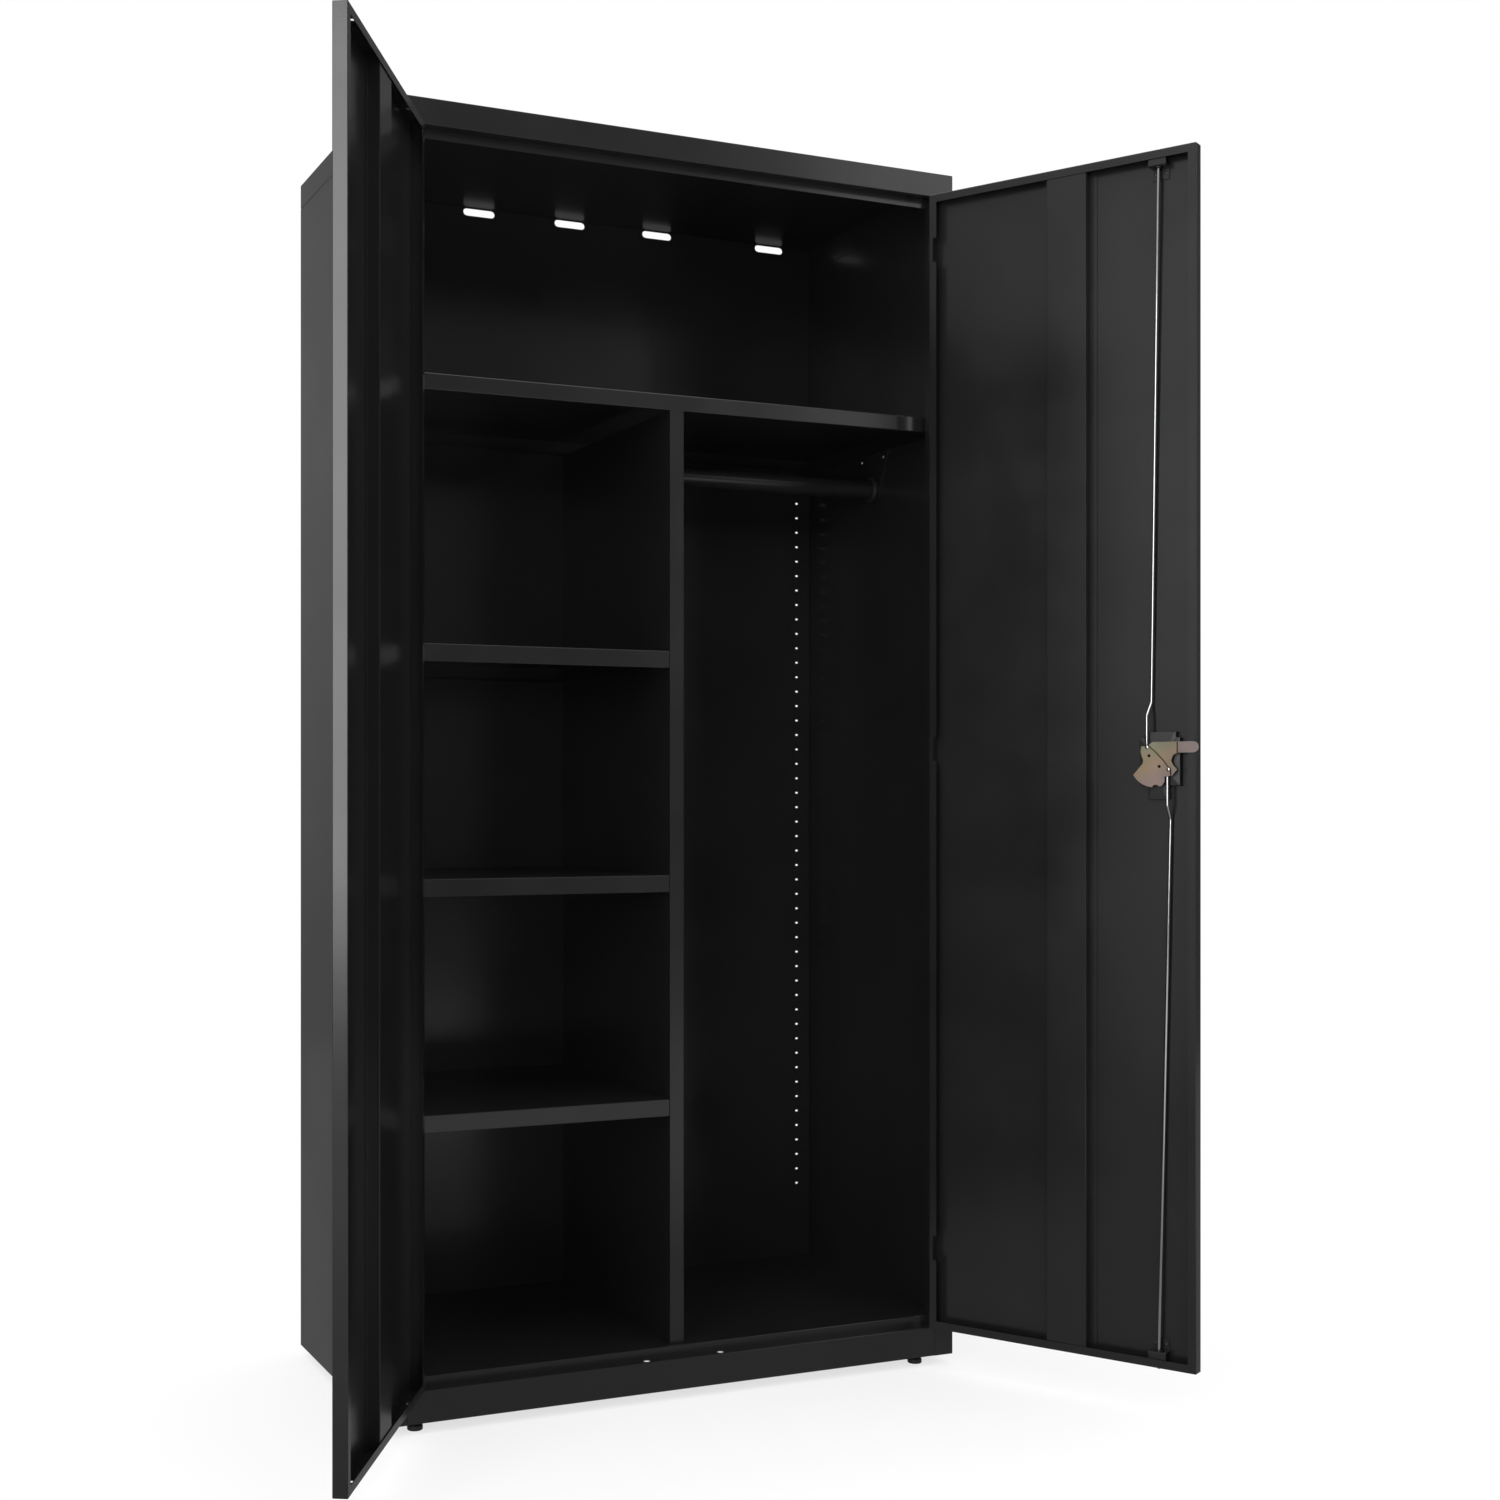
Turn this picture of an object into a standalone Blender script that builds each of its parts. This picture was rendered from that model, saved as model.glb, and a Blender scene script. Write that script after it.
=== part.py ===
"""Steel wardrobe cabinet with two swing doors, a shelf bay, a hanging bay and a three-point latch.

The cabinet is made of folded sheet. It is modelled with both doors open, in metres, +Z up.
Cabinet pieces use x to the right, y from the front face backwards and z from the body's lower edge.
Door pieces use u from the hinge edge towards the leading edge, w from the plane of the inner lip
towards the inside of the cabinet, and z from the body's lower edge.
"""

from math import atan2, cos, degrees, pi, radians, sin

import bmesh
import bpy
from mathutils import Matrix, Vector

# Driving sizes
WIDTH = 0.9144
DEPTH = 0.4572
HEIGHT = 1.8288
SHEET = 0.001
FOOT_HEIGHT = 0.015
DOOR_OPEN_ANGLE = radians(120)
LEVER_REST_ANGLE = radians(20)

# Clearances
SEAM_GAP = 0.0003
RUNNING_GAP = 0.0004
CORNER_GAP = 0.001
OVERRUN = 0.01

# Body
CAP_HEIGHT = 0.037
CAP_RETURN = 0.021
STOP_LIP_HEIGHT = 0.013
STILE_WIDTH = 0.0327
STILE_RETURN = 0.027
REAR_FLANGE = 0.019
EDGE_BEND = 0.0008
FASCIA_HEIGHT = 0.045
LEDGE_DEPTH = 0.021
DECK_HEIGHT = 0.0586
FLOOR_RETURN = 0.05

# Ventilation slots
SLOT_LENGTH = 0.055
SLOT_HEIGHT = 0.012
SLOT_DROP = 0.0083
SLOT_PLACE_SHARES = (-0.82, -0.35, 0.0, 0.35, 0.82)
SLOT_END_STEPS = 4

# Shelves, divider and their hole columns
SHELF_SETBACK = 0.033
TOP_SPACE_HEIGHT = 0.3348
TOP_SHELF_THICKNESS = 0.023
DIVIDER_THICKNESS = 0.023
HALF_SHELF_THICKNESS = 0.025
HALF_SHELF_SHARES = (0.724, 0.484, 0.244)
SHELF_RETURN = 0.012
HOLE_PITCH = 0.0254
HOLE_SIZE = 0.006
HOLE_START = 0.1849
BACK_HOLE_MARGIN = 0.05
UPRIGHT_HOLE_MARGIN = 0.225
BACK_HOLE_INSET = 0.0272
DIVIDER_FRONT_HOLES = 0.052
DIVIDER_REAR_HOLES = 0.042
STILE_HOLES = 0.018

# Shelf clips
CLIP_SHEET = 0.0015
CLIP_WIDTH = 0.012
CLIP_REACH = 0.014
CLIP_HEIGHT = 0.016
CLIP_PEG = 0.0052
CLIP_RISE = 0.0055
CLIP_PEG_REACH = 0.0035
FRONT_CLIP_REACH = 0.022

# Garment rod
ROD_RADIUS = 0.016
ROD_DROP = 0.059
ROD_PLACE_SHARE = 0.52
BRACKET_SHEET = 0.002
BRACKET_TOP_WIDTH = 0.1
BRACKET_EYE_RADIUS = 0.025

# Feet
FOOT_INSET = 0.0522
FOOT_SETBACK = 0.027
FOOT_PAD_RADIUS = 0.011
FOOT_PAD_HEIGHT = 0.009
FOOT_COLLAR_RADIUS = 0.007
FOOT_STEM_RADIUS = 0.003
FOOT_STEM_REACH = 0.014

# Doors
DOOR_DEPTH = 0.019
DOOR_LIP = 0.012
DOOR_GAP = 0.004
HINGE_GAP = 0.003
MEETING_GAP = 0.003
STIFFENER_PLACE_SHARE = 0.533
STIFFENER_WIDTH = 0.062
STIFFENER_FLANGE = 0.011
STIFFENER_SET_BACK = 0.0005

# Hinges
LOWER_HINGE_RISE = 0.124
UPPER_HINGE_DROP = 0.085
HINGE_LENGTH = 0.037
HINGE_LEAF_SHEET = 0.001
HINGE_LEAF_REACH = 0.017
KNUCKLE_RADIUS = 0.003
KNUCKLE_BORE = 0.0018
PIN_RADIUS = 0.0015
PIN_HEAD_RADIUS = 0.0022
PIN_HEAD_HEIGHT = 0.001
KNUCKLE_SHARE = 1 / 3
LIP_NOTCH = 0.006

# Latch: the spindle's place, the cam that works the rods and the arm that spans the door gap
SPINDLE_SETBACK = 0.0595
SPINDLE_HEIGHT = 0.9135
SPINDLE_RADIUS = 0.0065
LATCH_SHEET = 0.002
ARM_LIFT = 0.0006
CAM_REACH = 0.036
CAM_HOLE_RADIUS = 0.0022
CAM_HOLE_SHARES = ((-0.21, 0.26), (0.21, -0.17))
CAM_OUTLINE_SHARES = (
    (-0.53, 0.64), (-0.25, 0.63), (-0.21, 0.59), (0.00, 0.42), (0.18, 0.24), (0.38, 0.02),
    (0.61, -0.29), (0.65, -0.36), (0.65, -0.55), (0.42, -0.57), (0.42, -0.78), (0.30, -0.95),
    (0.20, -0.95), (0.14, -0.91), (0.06, -0.89), (-0.03, -0.91), (-0.09, -1.00),
)
CAM_SECTOR_START = radians(265)
CAM_SECTOR_END = radians(210)
CAM_SECTOR_STEPS = 5
CAM_FLANK_SHARES = ((-0.47, -0.05), (-0.45, 0.08), (-0.51, 0.25), (-0.56, 0.41))
ARM_REACH = 0.0655
ARM_CREASE = 0.0331
ARM_BEND = radians(4)
ARM_TOP = 0.029
ARM_WIDTH = 0.0158
ARM_TIP_STEPS = 6
ARM_BODY_SHARES = (
    (0.51, 0.197), (0.44, 0.17), (0.40, 0.13), (0.37, 0.03), (0.41, -0.055), (0.50, -0.166),
    (0.38, -0.305), (0.15, -0.21), (-0.15, 0.15), (-0.14, 0.38), (-0.05, 0.44),
)

# Latch rods
LATCH_ROD_RADIUS = 0.0025
LATCH_ROD_CLEARANCE = 0.0004
LATCH_ROD_SIDES = 2
TIP_CLEARANCE = 0.0004
ROD_GUIDE_SETBACK = 0.058
ROD_GUIDE_W = -0.0095
ROD_JOG_W = -0.0135
DOOR_HOLE_RADIUS = 0.004
GUIDE_HOLE_RADIUS = 0.0032
KEEPER_HOLE_RADIUS = 0.005
UPPER_ROD_END = (-0.0135, 0.023)
UPPER_ROD_JOG = 0.0665
LOWER_ROD_END = (0.017, -0.014)
LOWER_ROD_JOG = -0.0625
JOG_HEIGHT = 0.019
UPPER_JOG_SHIFT = 0.0026
LOWER_JOG_SHIFT = 0.0006

# Rod guides
GUIDE_SHEET = 0.0015
GUIDE_WIDTH = 0.026
GUIDE_FACE_HEIGHT = 0.0095
GUIDE_FOOT_HEIGHT = 0.018
GUIDE_LIP_GAP = 0.0012

# Handle
CUP_WIDTH = 0.06
CUP_HEIGHT = 0.069
CUP_TONGUE_WIDTH = 0.028
CUP_TONGUE_DROP = 0.02
CUP_STEP_WIDTH = 0.048
CUP_STEP_RISE = 0.008
CUP_SHIFT_U = 0.0035
CUP_SHIFT_Z = 0.001
CUP_WALL = 0.0015
CUP_BACK = 0.0075
CUP_FLANGE = 0.008
CUP_FLANGE_SHEET = 0.002
CUP_CORNER = 0.006
SPINDLE_GAP = 0.0003
HUB_RADIUS = 0.009
HUB_PROUD = 0.006
LEVER_LENGTH = 0.038
LEVER_ROOT_WIDTH = 0.015
LEVER_TIP_WIDTH = 0.01
PLUG_RADIUS = 0.005
PLUG_LENGTH = 0.012
PLUG_GAP = 0.0003
PLUG_PROUD = 0.0006
KEYWAY_WIDTH = 0.0012
KEYWAY_HEIGHT = 0.006
KEYWAY_DEPTH = 0.004

# Faceting
BEND_STEPS = 2
ROUND_SIDES = 24
SMALL_SIDES = 14
SMOOTH_ANGLE = radians(35)

# Places worked out from the sizes above
HALF_WIDTH = WIDTH / 2
ROD_SETBACK = ROD_PLACE_SHARE * DEPTH
HALF_SHEET = SHEET / 2
OPENING_HALF = HALF_WIDTH - STILE_WIDTH
CAP_BOTTOM = HEIGHT - CAP_HEIGHT
SIDE_TOP = CAP_BOTTOM - SEAM_GAP
TOP_SHELF_HEIGHT = CAP_BOTTOM - TOP_SPACE_HEIGHT - TOP_SHELF_THICKNESS
ROD_HEIGHT = TOP_SHELF_HEIGHT - ROD_DROP
WALL_FACE = HALF_WIDTH - SHEET
BACK_REAR = DEPTH - SHEET - SEAM_GAP
BACK_FRONT = BACK_REAR - SHEET
DIVIDER_FACE = DIVIDER_THICKNESS / 2
DOOR_EDGE = OPENING_HALF - HINGE_GAP
DOOR_WIDTH = DOOR_EDGE - MEETING_GAP / 2
DOOR_BOTTOM = FASCIA_HEIGHT + DOOR_GAP
DOOR_TOP = CAP_BOTTOM - DOOR_GAP
STIFFENER_START = STIFFENER_PLACE_SHARE * DOOR_WIDTH - STIFFENER_WIDTH / 2
LOWER_HINGE = DOOR_BOTTOM + LOWER_HINGE_RISE
UPPER_HINGE = DOOR_TOP - UPPER_HINGE_DROP
HINGE_HEIGHTS = (LOWER_HINGE, (LOWER_HINGE + UPPER_HINGE) / 2, UPPER_HINGE)
PIVOT_X = OPENING_HALF - HINGE_GAP / 2
PIVOT_Y = -KNUCKLE_RADIUS - SEAM_GAP
SPINDLE_U = DOOR_WIDTH - SPINDLE_SETBACK
ROD_GUIDE_U = DOOR_WIDTH - ROD_GUIDE_SETBACK
ARM_BACK = ARM_LIFT
CAM_BACK = ARM_LIFT + LATCH_SHEET + SEAM_GAP
ROD_W = ARM_LIFT - LATCH_ROD_CLEARANCE - LATCH_ROD_RADIUS
CUP_U = SPINDLE_U + CUP_SHIFT_U
CUP_Z = SPINDLE_HEIGHT + CUP_SHIFT_Z
CUP_FRONT = -DOOR_DEPTH - SEAM_GAP - CUP_FLANGE_SHEET

FINISHES = {
    "black_enamel": ((0.012, 0.012, 0.013), 0.32, 0.0),
    "bright_zinc": ((0.72, 0.72, 0.74), 0.28, 1.0),
    "yellow_zinc": ((0.45, 0.33, 0.19), 0.38, 1.0),
    "black_plastic": ((0.015, 0.015, 0.015), 0.5, 0.0),
    "steel_pin": ((0.35, 0.35, 0.36), 0.35, 1.0),
}


# Scene and materials
def clear_scene():
    """Remove every object of the opened file."""
    for item in list(bpy.data.objects):
        bpy.data.objects.remove(item)


def finish(name):
    """The named Principled material, made on first use."""
    material = bpy.data.materials.get(name)
    if material is None:
        colour, roughness, metallic = FINISHES[name]
        material = bpy.data.materials.new(name)
        material.use_nodes = True
        shader = material.node_tree.nodes["Principled BSDF"]
        shader.inputs["Base Color"].default_value = (*colour, 1)
        shader.inputs["Roughness"].default_value = roughness
        shader.inputs["Metallic"].default_value = metallic
        material.diffuse_color = (*colour, 1)
    return material


def link(name, mesh):
    item = bpy.data.objects.new(name, mesh)
    bpy.context.scene.collection.objects.link(item)
    return item


def axis_point(name, parent, place, turn=0.0):
    """An empty that stands on a joint's axis."""
    empty = link(name, None)
    empty.parent = parent
    empty.location = place
    empty.rotation_euler = (0, 0, turn)
    return empty


# Basic solids
def solid(name, vertices, faces):
    """A closed mesh object with its faces pointing out."""
    mesh = bpy.data.meshes.new(name)
    mesh.from_pydata([tuple(vertex) for vertex in vertices], [], faces)
    shape = bmesh.new()
    shape.from_mesh(mesh)
    bmesh.ops.recalc_face_normals(shape, faces=shape.faces)
    shape.to_mesh(mesh)
    shape.free()
    return link(name, mesh)


def prism(name, outline, low, high, axis):
    """An outline carried along one axis; its two coordinates are the other two axes in order."""
    def spot(point, level):
        if axis == "x":
            return (level, point[0], point[1])
        if axis == "y":
            return (point[0], level, point[1])
        return (point[0], point[1], level)

    count = len(outline)
    vertices = [spot(point, low) for point in outline] + [spot(point, high) for point in outline]
    faces = [tuple(range(count)), tuple(range(2 * count - 1, count - 1, -1))]
    for index in range(count):
        after = (index + 1) % count
        faces.append((index, after, count + after, count + index))
    return solid(name, vertices, faces)


def block(name, low, high):
    """A box between two corners."""
    outline = [(low[0], low[1]), (high[0], low[1]), (high[0], high[1]), (low[0], high[1])]
    return prism(name, outline, low[2], high[2], "z")


def circle(centre, radius, sides, start=0.0):
    turns = [start + 2 * pi * step / sides for step in range(sides)]
    return [(centre[0] + radius * cos(turn), centre[1] + radius * sin(turn)) for turn in turns]


def rounded_rectangle(centre, size, radius, steps):
    """A rectangle with quarter-round corners, counter-clockwise."""
    outline = []
    for quarter, (side_x, side_y) in enumerate(((1, 1), (-1, 1), (-1, -1), (1, -1))):
        hub_x = centre[0] + side_x * (size[0] / 2 - radius)
        hub_y = centre[1] + side_y * (size[1] / 2 - radius)
        for step in range(steps + 1):
            turn = (quarter + step / steps) * pi / 2
            outline.append((hub_x + radius * cos(turn), hub_y + radius * sin(turn)))
    return outline


def slot_outline(centre, length, height, steps):
    """A straight slot with round ends."""
    outline = []
    reach = (length - height) / 2
    for end, start in ((1, -pi / 2), (-1, pi / 2)):
        for step in range(steps + 1):
            turn = start + pi * step / steps
            outline.append((centre[0] + end * reach + height / 2 * cos(turn),
                            centre[1] + height / 2 * sin(turn)))
    return outline


def folded_outline(path, thickness=SHEET):
    """The closed section of a folded sheet around its centre line.

    The inside of each bend is sharp and the outside is an arc of one sheet thickness around it.
    """
    points = [Vector(point) for point in path]
    half = thickness / 2
    left = []
    right = []
    for index, point in enumerate(points):
        before = point - points[index - 1] if index else None
        after = points[index + 1] - point if index + 1 < len(points) else None
        if before is None or after is None:
            along = (after or before).normalized()
            normal = Vector((-along.y, along.x))
            left.append(point + normal * half)
            right.append(point - normal * half)
            continue
        before.normalize()
        after.normalize()
        first = Vector((-before.y, before.x))
        second = Vector((-after.y, after.x))
        turn = atan2(before.x * after.y - before.y * after.x, before.dot(after))
        inner_side = 1 if turn > 0 else -1
        corner = point + (first + second) * (inner_side * half / (1 + first.dot(second)))
        arc = []
        for step in range(BEND_STEPS + 1):
            part = Matrix.Rotation(turn * step / BEND_STEPS, 2)
            arc.append(corner - (part @ first) * (inner_side * thickness))
        if inner_side > 0:
            left.append(corner)
            right.extend(arc)
        else:
            left.extend(arc)
            right.append(corner)
    return [tuple(point) for point in left + right[::-1]]


def turned(name, profile, centre, sides):
    """A round solid about a vertical line; the profile lists (radius, height) from the bottom up."""
    vertices = []
    for radius, height in profile:
        vertices += [(x, y, centre[2] + height) for x, y in circle(centre, radius, sides)]
    rings = len(profile)
    faces = [tuple(range(sides)), tuple(range(rings * sides - 1, (rings - 1) * sides - 1, -1))]
    for ring in range(rings - 1):
        for step in range(sides):
            after = (step + 1) % sides
            low = ring * sides
            faces.append((low + step, low + after, low + sides + after, low + sides + step))
    return solid(name, vertices, faces)


def round_bar(name, points, radius, resolution):
    """A round bar through the points, with closed ends."""
    curve = bpy.data.curves.new(name, "CURVE")
    curve.dimensions = "3D"
    curve.bevel_depth = radius
    curve.bevel_resolution = resolution
    curve.use_fill_caps = True
    spline = curve.splines.new("POLY")
    spline.points.add(len(points) - 1)
    for spot, point in zip(spline.points, points):
        spot.co = (*point, 1)
    holder = link(name, curve)
    mesh = bpy.data.meshes.new_from_object(holder.evaluated_get(bpy.context.evaluated_depsgraph_get()))
    bpy.data.objects.remove(holder)
    return link(name, mesh)


# Shaping
def apply_modifiers(item):
    """Turn the item's modifiers into its mesh."""
    bpy.context.view_layer.update()
    graph = bpy.context.evaluated_depsgraph_get()
    mesh = bpy.data.meshes.new_from_object(item.evaluated_get(graph))
    item.modifiers.clear()
    item.data = mesh


def combine(item, tools, operation):
    """Join the tools to the item or cut them from it, one after another."""
    for tool in tools:
        modifier = item.modifiers.new(operation, "BOOLEAN")
        modifier.operation = operation
        modifier.solver = "EXACT"
        modifier.object = tool
        apply_modifiers(item)
        bpy.data.objects.remove(tool)
    return item


def join_cutters(cutters):
    """One cutter made of separate bodies that don't touch."""
    shape = bmesh.new()
    for cutter in cutters:
        shape.from_mesh(cutter.data)
        bpy.data.objects.remove(cutter)
    mesh = bpy.data.meshes.new("cutters")
    shape.to_mesh(mesh)
    shape.free()
    return link("cutters", mesh)


def cut(item, cutters):
    return combine(item, [join_cutters(cutters)], "DIFFERENCE")


def round_edges(item, width):
    """Round every edge of a plain block."""
    modifier = item.modifiers.new("edges", "BEVEL")
    modifier.width = width
    modifier.segments = BEND_STEPS
    modifier.limit_method = "NONE"
    apply_modifiers(item)
    return item


def pan(name, low, high, window_low, window_high):
    """A tray folded from sheet: a box with a hollow, open through a window in one face."""
    tray = round_edges(block(name, low, high), SHEET)
    hollow = block("hollow", [value + SHEET for value in low], [value - SHEET for value in high])
    window = block("window", window_low, window_high)
    return combine(tray, [hollow, window], "DIFFERENCE")


def dress(item, material, parent, smooth=False):
    """Give the item its finish and hang it under its parent."""
    item.data.materials.clear()
    item.data.materials.append(finish(material))
    item.parent = parent
    if smooth:
        item.data.shade_smooth()
        item.data.set_sharp_from_angle(angle=SMOOTH_ANGLE)
    return item


def hole_column(place, margin, axis):
    """Square cutters up a column, as far as a margin below the upper shelf.

    Place is (x, y) of the column, and axis the way the cutters go through.
    """
    half = HOLE_SIZE / 2
    cutters = []
    steps = int((TOP_SHELF_HEIGHT - margin - HOLE_START) / HOLE_PITCH)
    for index in range(steps + 1):
        height = HOLE_START + index * HOLE_PITCH
        reach = (OVERRUN, half) if axis == "x" else (half, OVERRUN)
        cutters.append(block("hole", (place[0] - reach[0], place[1] - reach[1], height - half),
                             (place[0] + reach[0], place[1] + reach[1], height + half)))
    return cutters


# Cabinet body
def vent_cutters():
    """The row of ventilation slots through the cap's rear skirt and the back panel."""
    cutters = []
    for share in SLOT_PLACE_SHARES:
        centre = (share * HALF_WIDTH, HEIGHT - SLOT_DROP)
        outline = slot_outline(centre, SLOT_LENGTH, SLOT_HEIGHT, SLOT_END_STEPS)
        cutters.append(prism("slot", outline, BACK_FRONT - OVERRUN, DEPTH + OVERRUN, "y"))
    return cutters


def keeper_cutters(height):
    """Two upright round cutters where the latch rods enter the frame."""
    y = DOOR_DEPTH + ROD_GUIDE_W
    cutters = []
    for side in (-1, 1):
        outline = circle((side * (DOOR_EDGE - ROD_GUIDE_U), y), KEEPER_HOLE_RADIUS, SMALL_SIDES)
        cutters.append(prism("keeper", outline, height - OVERRUN / 2, height + OVERRUN / 2, "z"))
    return cutters


def make_top_cap(root):
    low = (-HALF_WIDTH, 0, CAP_BOTTOM)
    high = (HALF_WIDTH, DEPTH, HEIGHT)
    cap = pan("top_cap", low, high, (-WALL_FACE, CAP_RETURN, CAP_BOTTOM - OVERRUN),
              (WALL_FACE, DEPTH - SHEET, CAP_BOTTOM + 2 * SHEET))
    reach = OPENING_HALF - SEAM_GAP
    lip = block("lip", (-reach, CAP_RETURN - SHEET, CAP_BOTTOM - STOP_LIP_HEIGHT),
                (reach, CAP_RETURN, CAP_BOTTOM + SHEET))
    combine(cap, [lip], "UNION")
    cut(cap, vent_cutters() + keeper_cutters(CAP_BOTTOM))
    return dress(cap, "black_enamel", root)


def edge_wedge(place, outward, low, high, axis):
    """A three-cornered cutter that turns a side panel's sharp top edge into a bend."""
    beyond = place + outward * OVERRUN
    inside = place - outward * (EDGE_BEND + OVERRUN)
    outline = [(inside, SIDE_TOP + OVERRUN), (beyond, SIDE_TOP - EDGE_BEND - OVERRUN),
               (beyond, SIDE_TOP + OVERRUN)]
    return prism("wedge", outline, low, high, axis)


def make_side(side, root):
    """A side panel with its front stile, stile return and rear flange, and a neck inside the cap.

    Only the shelf bay's side has the column of holes in its stile return.
    """
    outer = HALF_WIDTH - HALF_SHEET
    stile_edge = OPENING_HALF + HALF_SHEET
    path = [
        (side * (HALF_WIDTH - REAR_FLANGE), DEPTH - HALF_SHEET),
        (side * outer, DEPTH - HALF_SHEET),
        (side * outer, HALF_SHEET),
        (side * stile_edge, HALF_SHEET),
        (side * stile_edge, STILE_RETURN),
    ]
    name = "right_side" if side > 0 else "left_side"
    panel = prism(name, folded_outline(path), 0, SIDE_TOP, "z")
    reach = sorted((side * (OPENING_HALF - OVERRUN), side * (HALF_WIDTH + OVERRUN)))
    combine(panel, [edge_wedge(side * HALF_WIDTH, side, -OVERRUN, DEPTH + OVERRUN, "y"),
                    edge_wedge(0, -1, reach[0], reach[1], "x")], "DIFFERENCE")
    neck_face = WALL_FACE - SEAM_GAP
    neck_top = HEIGHT - SHEET - SEAM_GAP
    step_top = SIDE_TOP - SHEET
    outline = [(neck_face - SHEET, step_top - SHEET), (outer, step_top - SHEET), (outer, step_top),
               (neck_face, step_top), (neck_face, neck_top), (neck_face - SHEET, neck_top)]
    neck = prism("neck", [(side * x, z) for x, z in outline], CAP_RETURN + SEAM_GAP,
                 BACK_FRONT - CORNER_GAP, "y")
    combine(panel, [neck], "UNION")
    if side < 0:
        cut(panel, hole_column((side * stile_edge, STILE_HOLES), UPRIGHT_HOLE_MARGIN, "x"))
    return dress(panel, "black_enamel", root)


def make_back(root):
    reach = WALL_FACE - CORNER_GAP
    back = block("back_panel", (-reach, BACK_FRONT, 0), (reach, BACK_REAR, HEIGHT - SHEET - SEAM_GAP))
    cutters = vent_cutters()
    for side in (-1, 1):
        column = (side * (HALF_WIDTH - BACK_HOLE_INSET), (BACK_FRONT + BACK_REAR) / 2)
        cutters += hole_column(column, BACK_HOLE_MARGIN, "y")
    cut(back, cutters)
    return dress(back, "black_enamel", root)


def foot_places():
    """The four feet, from front left round to rear right."""
    x = HALF_WIDTH - FOOT_INSET
    return (("front_left", -x, FOOT_SETBACK), ("front_right", x, FOOT_SETBACK),
            ("rear_left", -x, DEPTH - FOOT_SETBACK), ("rear_right", x, DEPTH - FOOT_SETBACK))


def make_floor_pan(root):
    """Fascia, ledge, riser, deck and rear skirt, folded from one sheet."""
    rear = BACK_FRONT - SEAM_GAP - HALF_SHEET
    path = [
        (FLOOR_RETURN, HALF_SHEET),
        (HALF_SHEET, HALF_SHEET),
        (HALF_SHEET, FASCIA_HEIGHT - HALF_SHEET),
        (LEDGE_DEPTH + HALF_SHEET, FASCIA_HEIGHT - HALF_SHEET),
        (LEDGE_DEPTH + HALF_SHEET, DECK_HEIGHT - HALF_SHEET),
        (rear, DECK_HEIGHT - HALF_SHEET),
        (rear, HALF_SHEET),
        (rear - FLOOR_RETURN, HALF_SHEET),
    ]
    reach = WALL_FACE - SEAM_GAP
    floor = prism("floor_pan", folded_outline(path), -reach, reach, "x")
    corners = []
    for side in (-1, 1):
        x = sorted((side * (OPENING_HALF - SEAM_GAP), side * (HALF_WIDTH + OVERRUN)))
        corners.append(block("corner", (x[0], -OVERRUN, -OVERRUN),
                             (x[1], STILE_RETURN + SEAM_GAP, DECK_HEIGHT + OVERRUN)))
    cut(floor, corners)
    holes = keeper_cutters(FASCIA_HEIGHT)
    for _, x, y in foot_places():
        outline = circle((x, y), FOOT_STEM_RADIUS + SEAM_GAP, SMALL_SIDES)
        holes.append(prism("stem_hole", outline, -OVERRUN, OVERRUN, "z"))
    cut(floor, holes)
    return dress(floor, "black_enamel", root)


def make_feet(root):
    """Levelling feet: a pad, a collar under the floor pan and a stem through it."""
    for word, x, y in foot_places():
        collar_top = -SEAM_GAP
        pad_top = FOOT_PAD_HEIGHT - FOOT_HEIGHT
        profile = [
            (FOOT_PAD_RADIUS, -FOOT_HEIGHT), (FOOT_PAD_RADIUS, pad_top), (FOOT_COLLAR_RADIUS, pad_top),
            (FOOT_COLLAR_RADIUS, collar_top), (FOOT_STEM_RADIUS, collar_top),
            (FOOT_STEM_RADIUS, FOOT_STEM_REACH),
        ]
        foot = turned("foot_" + word, profile, (x, y, 0), SMALL_SIDES)
        dress(foot, "black_plastic", root, smooth=True)


def make_shelf(name, left, right, bottom, thickness, root):
    """A shelf folded as a tray that opens downwards."""
    low = (left, SHELF_SETBACK, bottom)
    high = (right, BACK_FRONT - SEAM_GAP, bottom + thickness)
    window_low = (left + SHELF_RETURN, SHELF_SETBACK + SHELF_RETURN, bottom - OVERRUN)
    window_high = (right - SHELF_RETURN, high[1] - SHELF_RETURN, bottom + 2 * SHEET)
    return dress(pan(name, low, high, window_low, window_high), "black_enamel", root)


def half_shelf_bottoms():
    """Undersides of the half shelves, top one first, each a clip's rise above the nearest hole.

    The shares divide the height between the deck and the upper shelf.
    """
    first = HOLE_START + CLIP_RISE
    bottoms = []
    for share in HALF_SHELF_SHARES:
        wanted = DECK_HEIGHT + share * (TOP_SHELF_HEIGHT - DECK_HEIGHT)
        bottoms.append(first + round((wanted - first) / HOLE_PITCH) * HOLE_PITCH)
    return bottoms


def make_shelves(root):
    reach = WALL_FACE - SEAM_GAP
    make_shelf("upper_shelf", -reach, reach, TOP_SHELF_HEIGHT, TOP_SHELF_THICKNESS, root)
    right = -DIVIDER_FACE - SEAM_GAP
    for index, bottom in enumerate(half_shelf_bottoms()):
        make_shelf("half_shelf_%d" % (index + 1), -reach, right, bottom, HALF_SHELF_THICKNESS, root)


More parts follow.
